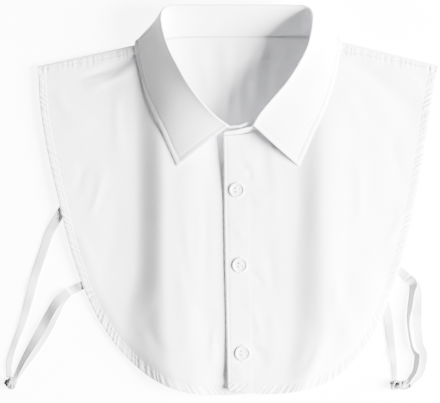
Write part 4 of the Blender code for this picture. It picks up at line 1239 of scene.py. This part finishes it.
def leaf_paths():
    """The edge stitch of the leaf: up one front end, along the edge and down the other end."""
    points = leaf_points()
    normals = grid_normals(points)
    _, to_edge, _, to_end = margins(points)
    faces = np.concatenate([points - normals * STITCH_SINK, normals], axis=2)
    middle, ends = len(points) // 2, []
    for rows in (np.arange(middle), np.arange(middle, len(points))[::-1]):
        columns = [column for column in range(12, points.shape[1]) if to_edge[rows, column].mean() >= LEAF_STITCH]
        ends.append([read_line(faces[rows, column], to_end[rows, column], LEAF_STITCH) for column in columns])
    inside = np.flatnonzero(to_end[:, -10] >= LEAF_STITCH)
    edge = [read_line(faces[row], -to_edge[row], -LEAF_STITCH) for row in inside]
    return [np.array(ends[0]), np.array(edge), np.array(ends[1][::-1])]


def stand_path():
    """The edge stitch along the stand's foot, on its face towards the neck."""
    points = stand_points()
    normals = -grid_normals(points)
    _, to_foot, _, _ = margins(points)
    faces = np.concatenate([points - normals * STITCH_SINK, normals], axis=2)
    return np.array([read_line(faces[row], -to_foot[row], -STAND_STITCH) for row in range(2, len(points) - 2)])


def make_buttonhole(name, x, y, settings):
    """A worked buttonhole along the placket: a satin-stitched oval with the slit between its two sides."""
    half, wide = settings.hole_length / MM / 2.0, 1.3
    shares, across_shares = np.linspace(-1.0, 1.0, 90)[:, None], np.linspace(-1.0, 1.0, 15)[None, :]
    width = wide * np.sqrt(np.clip(1.0 - np.abs(shares) ** 9, 0.0, 1.0)) + 0.02
    plan = np.dstack(np.broadcast_arrays(x + across_shares * width, y + shares * half))
    legs = 0.42 * np.sqrt(np.clip(1.0 - (np.abs(across_shares) * 2.0 - 1.0) ** 2, 0.0, 1.0))
    satin = 0.07 * np.sin(2.0 * math.pi * shares * half / 0.55)
    points = raised(plan, front_surface(plan.reshape(-1, 2), 1))
    points[..., 2] += legs * (1.0 + satin) - 0.10
    finish_piece(grid_piece(name, points, SATIN_WALL), sewing_thread(), "white_cotton")


def settle(item, x, y):
    """Turns and moves a piece modelled at the origin onto the over front, then applies its place."""
    around = np.array([[x, y], [x + 2.0, y], [x - 2.0, y], [x, y + 2.0], [x, y - 2.0]])
    height = front_surface(around, 1)
    normal = Vector(((height[2] - height[1]) / 4.0, (height[4] - height[3]) / 4.0, 1.0)).normalized()
    item.rotation_mode = "QUATERNION"
    item.rotation_quaternion = Vector(UP).rotation_difference(normal)
    item.location = (Vector((x, y, height[0])) + normal * BUTTON_LIFT) * MM
    select_only(item)
    bpy.ops.object.transform_apply(location=True, rotation=True, scale=True)


def select_faces(item, way):
    """In edit mode, selects the faces that look up, or down if way is -1."""
    bpy.ops.mesh.select_all(action="DESELECT")
    bpy.ops.mesh.select_mode(type="FACE")
    build = bmesh.from_edit_mesh(item.data)
    for face in build.faces:
        face.select_set(face.normal.z * way > 0.9)
    bmesh.update_edit_mesh(item.data)


def join_points():
    """Joins the active mesh's points that lie on one another."""
    bpy.ops.object.mode_set(mode="EDIT")
    bpy.ops.mesh.select_all(action="SELECT")
    bpy.ops.mesh.remove_doubles(threshold=JOIN_WITHIN)
    bpy.ops.object.mode_set(mode="OBJECT")


def turned_button(name, settings):
    """A four-hole shirt button: a disc with a raised rounded rim, a dished face and drilled holes."""
    radius, thick = settings.diameter / 2.0, settings.thickness
    bpy.ops.mesh.primitive_cylinder_add(vertices=72, radius=radius, depth=thick, location=(0.0, 0.0, thick / 2.0))
    item = bpy.context.object
    item.name = item.data.name = name
    bpy.ops.object.transform_apply(location=True)
    bpy.ops.object.mode_set(mode="EDIT")
    select_faces(item, 1)
    bpy.ops.mesh.inset(thickness=settings.rim)
    bpy.ops.mesh.inset(thickness=RIM_SLOPE)
    bpy.ops.transform.translate(value=(0.0, 0.0, -settings.dish))
    bpy.ops.mesh.inset(thickness=FACE_ROUND)
    select_faces(item, -1)
    bpy.ops.mesh.inset(thickness=UNDERSIDE_EDGE)
    bpy.ops.transform.translate(value=(0.0, 0.0, -UNDERSIDE_SWELL))
    bpy.ops.object.mode_set(mode="OBJECT")
    bevel = item.modifiers.new("turned_edges", "BEVEL")
    bevel.width = settings.edge_round
    bevel.segments = 4
    bevel.limit_method = "ANGLE"
    bevel.angle_limit = math.radians(25.0)
    bpy.ops.object.modifier_apply(modifier="turned_edges")
    join_points()
    spacing = settings.hole_spacing / 2.0
    for x, y in ((-1, -1), (1, -1), (1, 1), (-1, 1)):
        place = (x * spacing, y * spacing, thick / 2.0)
        bpy.ops.mesh.primitive_cylinder_add(vertices=24, radius=settings.hole / 2.0, depth=DRILL_DEPTH, location=place)
        drill = bpy.context.object
        cut = item.modifiers.new("hole", "BOOLEAN")
        cut.object = drill
        select_only(item)
        bpy.ops.object.modifier_apply(modifier="hole")
        bpy.data.objects.remove(drill, do_unlink=True)
    bpy.ops.object.shade_smooth_by_angle(angle=math.radians(35.0))
    return item


def thread_bars(name, settings, turn):
    """Sewing thread between a button's holes: two worn bars of four strands each."""
    half, level = settings.hole_spacing / 2.0, settings.thickness - settings.dish
    curve = bpy.data.curves.new(name, "CURVE")
    curve.dimensions = "3D"
    curve.bevel_depth = STRAND_RADIUS
    curve.bevel_resolution = 2
    curve.use_fill_caps = True
    shares = np.linspace(-1.0, 1.0, 17)
    for bar in (-1.0, 1.0):
        for index in range(4):
            strand = curve.splines.new("POLY")
            strand.points.add(len(shares) - 1)
            aside = bar * half + (index - 1.5) * STRAND_PITCH
            arch = STRAND_ARCH + STRAND_STAGGER * (index % 2)
            for point, share in zip(strand.points, shares):
                along, z = share * (half + STRAND_OVER), level + arch - (arch + STRAND_DIP) * abs(share) ** 4
                x, y = along * math.cos(turn) - aside * math.sin(turn), along * math.sin(turn) + aside * math.cos(turn)
                point.co = (x, y, z, 1.0)
    item = bpy.data.objects.new(name, curve)
    bpy.context.collection.objects.link(item)
    select_only(item)
    bpy.ops.object.convert(target="MESH")
    join_points()
    return item


def make_stage(settings):
    """White paper under the garment, a low soft key from the right, an even sky, and the camera."""
    bpy.ops.mesh.primitive_plane_add(size=8.0, location=(0.0, 0.0, 0.0))
    floor = bpy.context.object
    floor.name = "floor"
    floor.data.materials.append(material("paper_white_matt", backdrop_paper, settings.paper_glow))
    bpy.ops.object.light_add(type="AREA", location=KEY_PLACE)
    key = bpy.context.object
    key.name = "key_right"
    key.data.size = KEY_SIZE
    key.data.energy = settings.key_power
    key.rotation_mode = "QUATERNION"
    key.rotation_quaternion = (-Vector(KEY_PLACE)).to_track_quat("-Z", "Y")
    world = bpy.data.worlds.new("even_studio")
    world.use_nodes = True
    sky = world.node_tree.nodes["Background"]
    sky.inputs["Color"].default_value = (*settings.sky_colour, 1.0)
    sky.inputs["Strength"].default_value = settings.sky_strength
    bpy.context.scene.world = world
    bpy.ops.object.camera_add(location=CAMERA_PLACE, rotation=(0.0, 0.0, 0.0))
    camera = bpy.context.object
    camera.name = "camera_above"
    camera.data.lens = CAMERA_LENS
    camera.data.clip_end = 20.0
    bpy.context.scene.camera = camera


def size_setting(name, description, default):
    """A size in metres that the panel shows."""
    return FloatProperty(name=name, description=description, default=default, unit="LENGTH")


class ClothSettings(bpy.types.PropertyGroup):
    """Sizes of the sewn cloth."""

    stitch_length: size_setting("Stitch length", "Length of one stitch of thread", 0.0024)
    stitch_pitch: size_setting("Stitch spacing", "From the start of one stitch to the next", 0.0031)
    thread_width: size_setting("Thread width", "Width of the sewing thread", 0.00042)
    hole_length: size_setting("Buttonhole length", "Length of a worked buttonhole", 0.0165)


class ButtonSettings(bpy.types.PropertyGroup):
    """Sizes of the buttons."""

    diameter: size_setting("Diameter", "Width of a button", 0.0134)
    thickness: size_setting("Thickness", "Height at the rim", 0.0016)
    edge_round: size_setting("Rounding", "Width of the turned edges", 0.0003)
    rim: size_setting("Rim", "Width of the raised rim", 0.0014)
    dish: size_setting("Dish", "Depth of the face under the rim", 0.0006)
    hole: size_setting("Hole", "Width of a sewing hole", 0.0017)
    hole_spacing: size_setting("Hole spacing", "Between the centres of two holes", 0.0032)


class StageSettings(bpy.types.PropertyGroup):
    """The light and the backdrop."""

    key_power: FloatProperty(
        name="Key power", description="Large soft light low on the right", default=705.0, unit="POWER"
    )
    paper_glow: FloatProperty(name="Paper glow", description="Light through the white table paper", default=7.0)
    sky_colour: FloatVectorProperty(
        name="Sky colour", description="Even light from all round", default=(1.0, 1.0, 1.0), subtype="COLOR"
    )
    sky_strength: FloatProperty(name="Sky strength", description="Strength of the even light", default=0.21)


class COLLAR_OT_body(bpy.types.Operator):
    """Make the back panel and both fronts with their folds, hems and placket"""

    bl_idname = "collar.body"
    bl_label = "Back and fronts"

    def execute(self, context):
        make_back()
        make_front(-1)
        make_front(1)
        return {"FINISHED"}


class COLLAR_OT_collar(bpy.types.Operator):
    """Make the stand and the leaf of the collar"""

    bl_idname = "collar.collar"
    bl_label = "Stand and leaf"

    def execute(self, context):
        make_stand()
        make_leaf()
        return {"FINISHED"}


class COLLAR_OT_stitches(bpy.types.Operator):
    """Sew the visible rows of stitches and work the buttonholes"""

    bl_idname = "collar.stitches"
    bl_label = "Stitches and buttonholes"

    def execute(self, context):
        settings = context.scene.collar_cloth
        make_stitches("stitches_hems", [hem_path(-1), hem_path(1)], settings)
        make_stitches("stitches_placket", [placket_path(EDGE_STITCH), placket_path(PLACKET_STITCH)], settings)
        make_stitches("stitches_shoulders", [shoulder_path(-1), shoulder_path(1)], settings)
        make_stitches("stitches_collar", [*leaf_paths(), stand_path()], settings)
        for name, x, y, _ in BUTTONS:
            make_buttonhole(f"buttonhole_{name}", x + BUTTON_SHIFT, y, settings)
        return {"FINISHED"}


class COLLAR_OT_buttons(bpy.types.Operator):
    """Turn the three buttons and sew them on"""

    bl_idname = "collar.buttons"
    bl_label = "Buttons"

    def execute(self, context):
        settings = context.scene.collar_buttons
        for name, x, y, turn in BUTTONS:
            item = turned_button(f"shirt_button_{name}", settings)
            settle(item, x + BUTTON_SHIFT, y)
            finish_piece(item, pearl_resin(), "pearl_plastic", f"button_{name}")
            thread = thread_bars(f"thread_{name}", settings, math.radians(turn))
            settle(thread, x + BUTTON_SHIFT, y)
            finish_piece(thread, sewing_thread(), "white_cotton")
        return {"FINISHED"}


class COLLAR_OT_straps(bpy.types.Operator):
    """Lay the elastic straps, their tabs and their sewn ends"""

    bl_idname = "collar.straps"
    bl_label = "Elastic straps"

    def execute(self, context):
        make_flat_strap("elastic_back_left", BACK_STRAP_LEFT, "strap_back_left")
        make_flat_strap("elastic_back_right", BACK_STRAP_RIGHT, "strap_back_right")
        make_flat_strap("elastic_tab_left", TAB_LEFT, "strap_tab_left")
        make_flat_strap("elastic_tab_right", TAB_RIGHT, "strap_tab_right")
        make_loop("elastic_loop_left", LOOP_LEFT, "strap_loop_left")
        make_loop("elastic_loop_right", LOOP_RIGHT, "strap_loop_right")
        for side, x, y, width, length in LINKS:
            make_link(side, x, y, width, length)
        return {"FINISHED"}


class COLLAR_OT_stage(bpy.types.Operator):
    """Lay the backdrop, set the lights and place the camera above the garment"""

    bl_idname = "collar.stage"
    bl_label = "Backdrop, light and camera"

    def execute(self, context):
        make_stage(context.scene.collar_stage)
        return {"FINISHED"}


class COLLAR_PT_panel(bpy.types.Panel):
    """Lists the garment's groups and their sizes"""

    bl_label = "Detachable collar"
    bl_idname = "COLLAR_PT_panel"
    bl_space_type = "VIEW_3D"
    bl_region_type = "UI"
    bl_category = "Collar"

    def draw(self, context):
        for operator in OPERATORS:
            self.layout.operator(operator.bl_idname)
        for group in ("collar_cloth", "collar_buttons", "collar_stage"):
            settings = getattr(context.scene, group)
            box = self.layout.box()
            for name in settings.__annotations__:
                box.prop(settings, name)


OPERATORS = (
    COLLAR_OT_body,
    COLLAR_OT_collar,
    COLLAR_OT_buttons,
    COLLAR_OT_stitches,
    COLLAR_OT_straps,
    COLLAR_OT_stage,
)
GROUPS = {"collar_cloth": ClothSettings, "collar_buttons": ButtonSettings, "collar_stage": StageSettings}


def register():
    """Adds the garment's settings, operators and panel to Blender."""
    for kind in (*GROUPS.values(), *OPERATORS, COLLAR_PT_panel):
        bpy.utils.register_class(kind)
    for name, group in GROUPS.items():
        setattr(bpy.types.Scene, name, PointerProperty(type=group))


def unregister():
    """Takes them out again."""
    for name in GROUPS:
        delattr(bpy.types.Scene, name)
    for kind in (COLLAR_PT_panel, *reversed(OPERATORS), *reversed(GROUPS.values())):
        bpy.utils.unregister_class(kind)


def main():
    """Builds the dressed garment and notes its sizes."""
    register()
    bpy.ops.collar.stage()
    bpy.ops.collar.body()
    bpy.ops.collar.collar()
    bpy.ops.collar.buttons()
    bpy.ops.collar.stitches()
    bpy.ops.collar.straps()


if __name__ == "__main__":
    main()
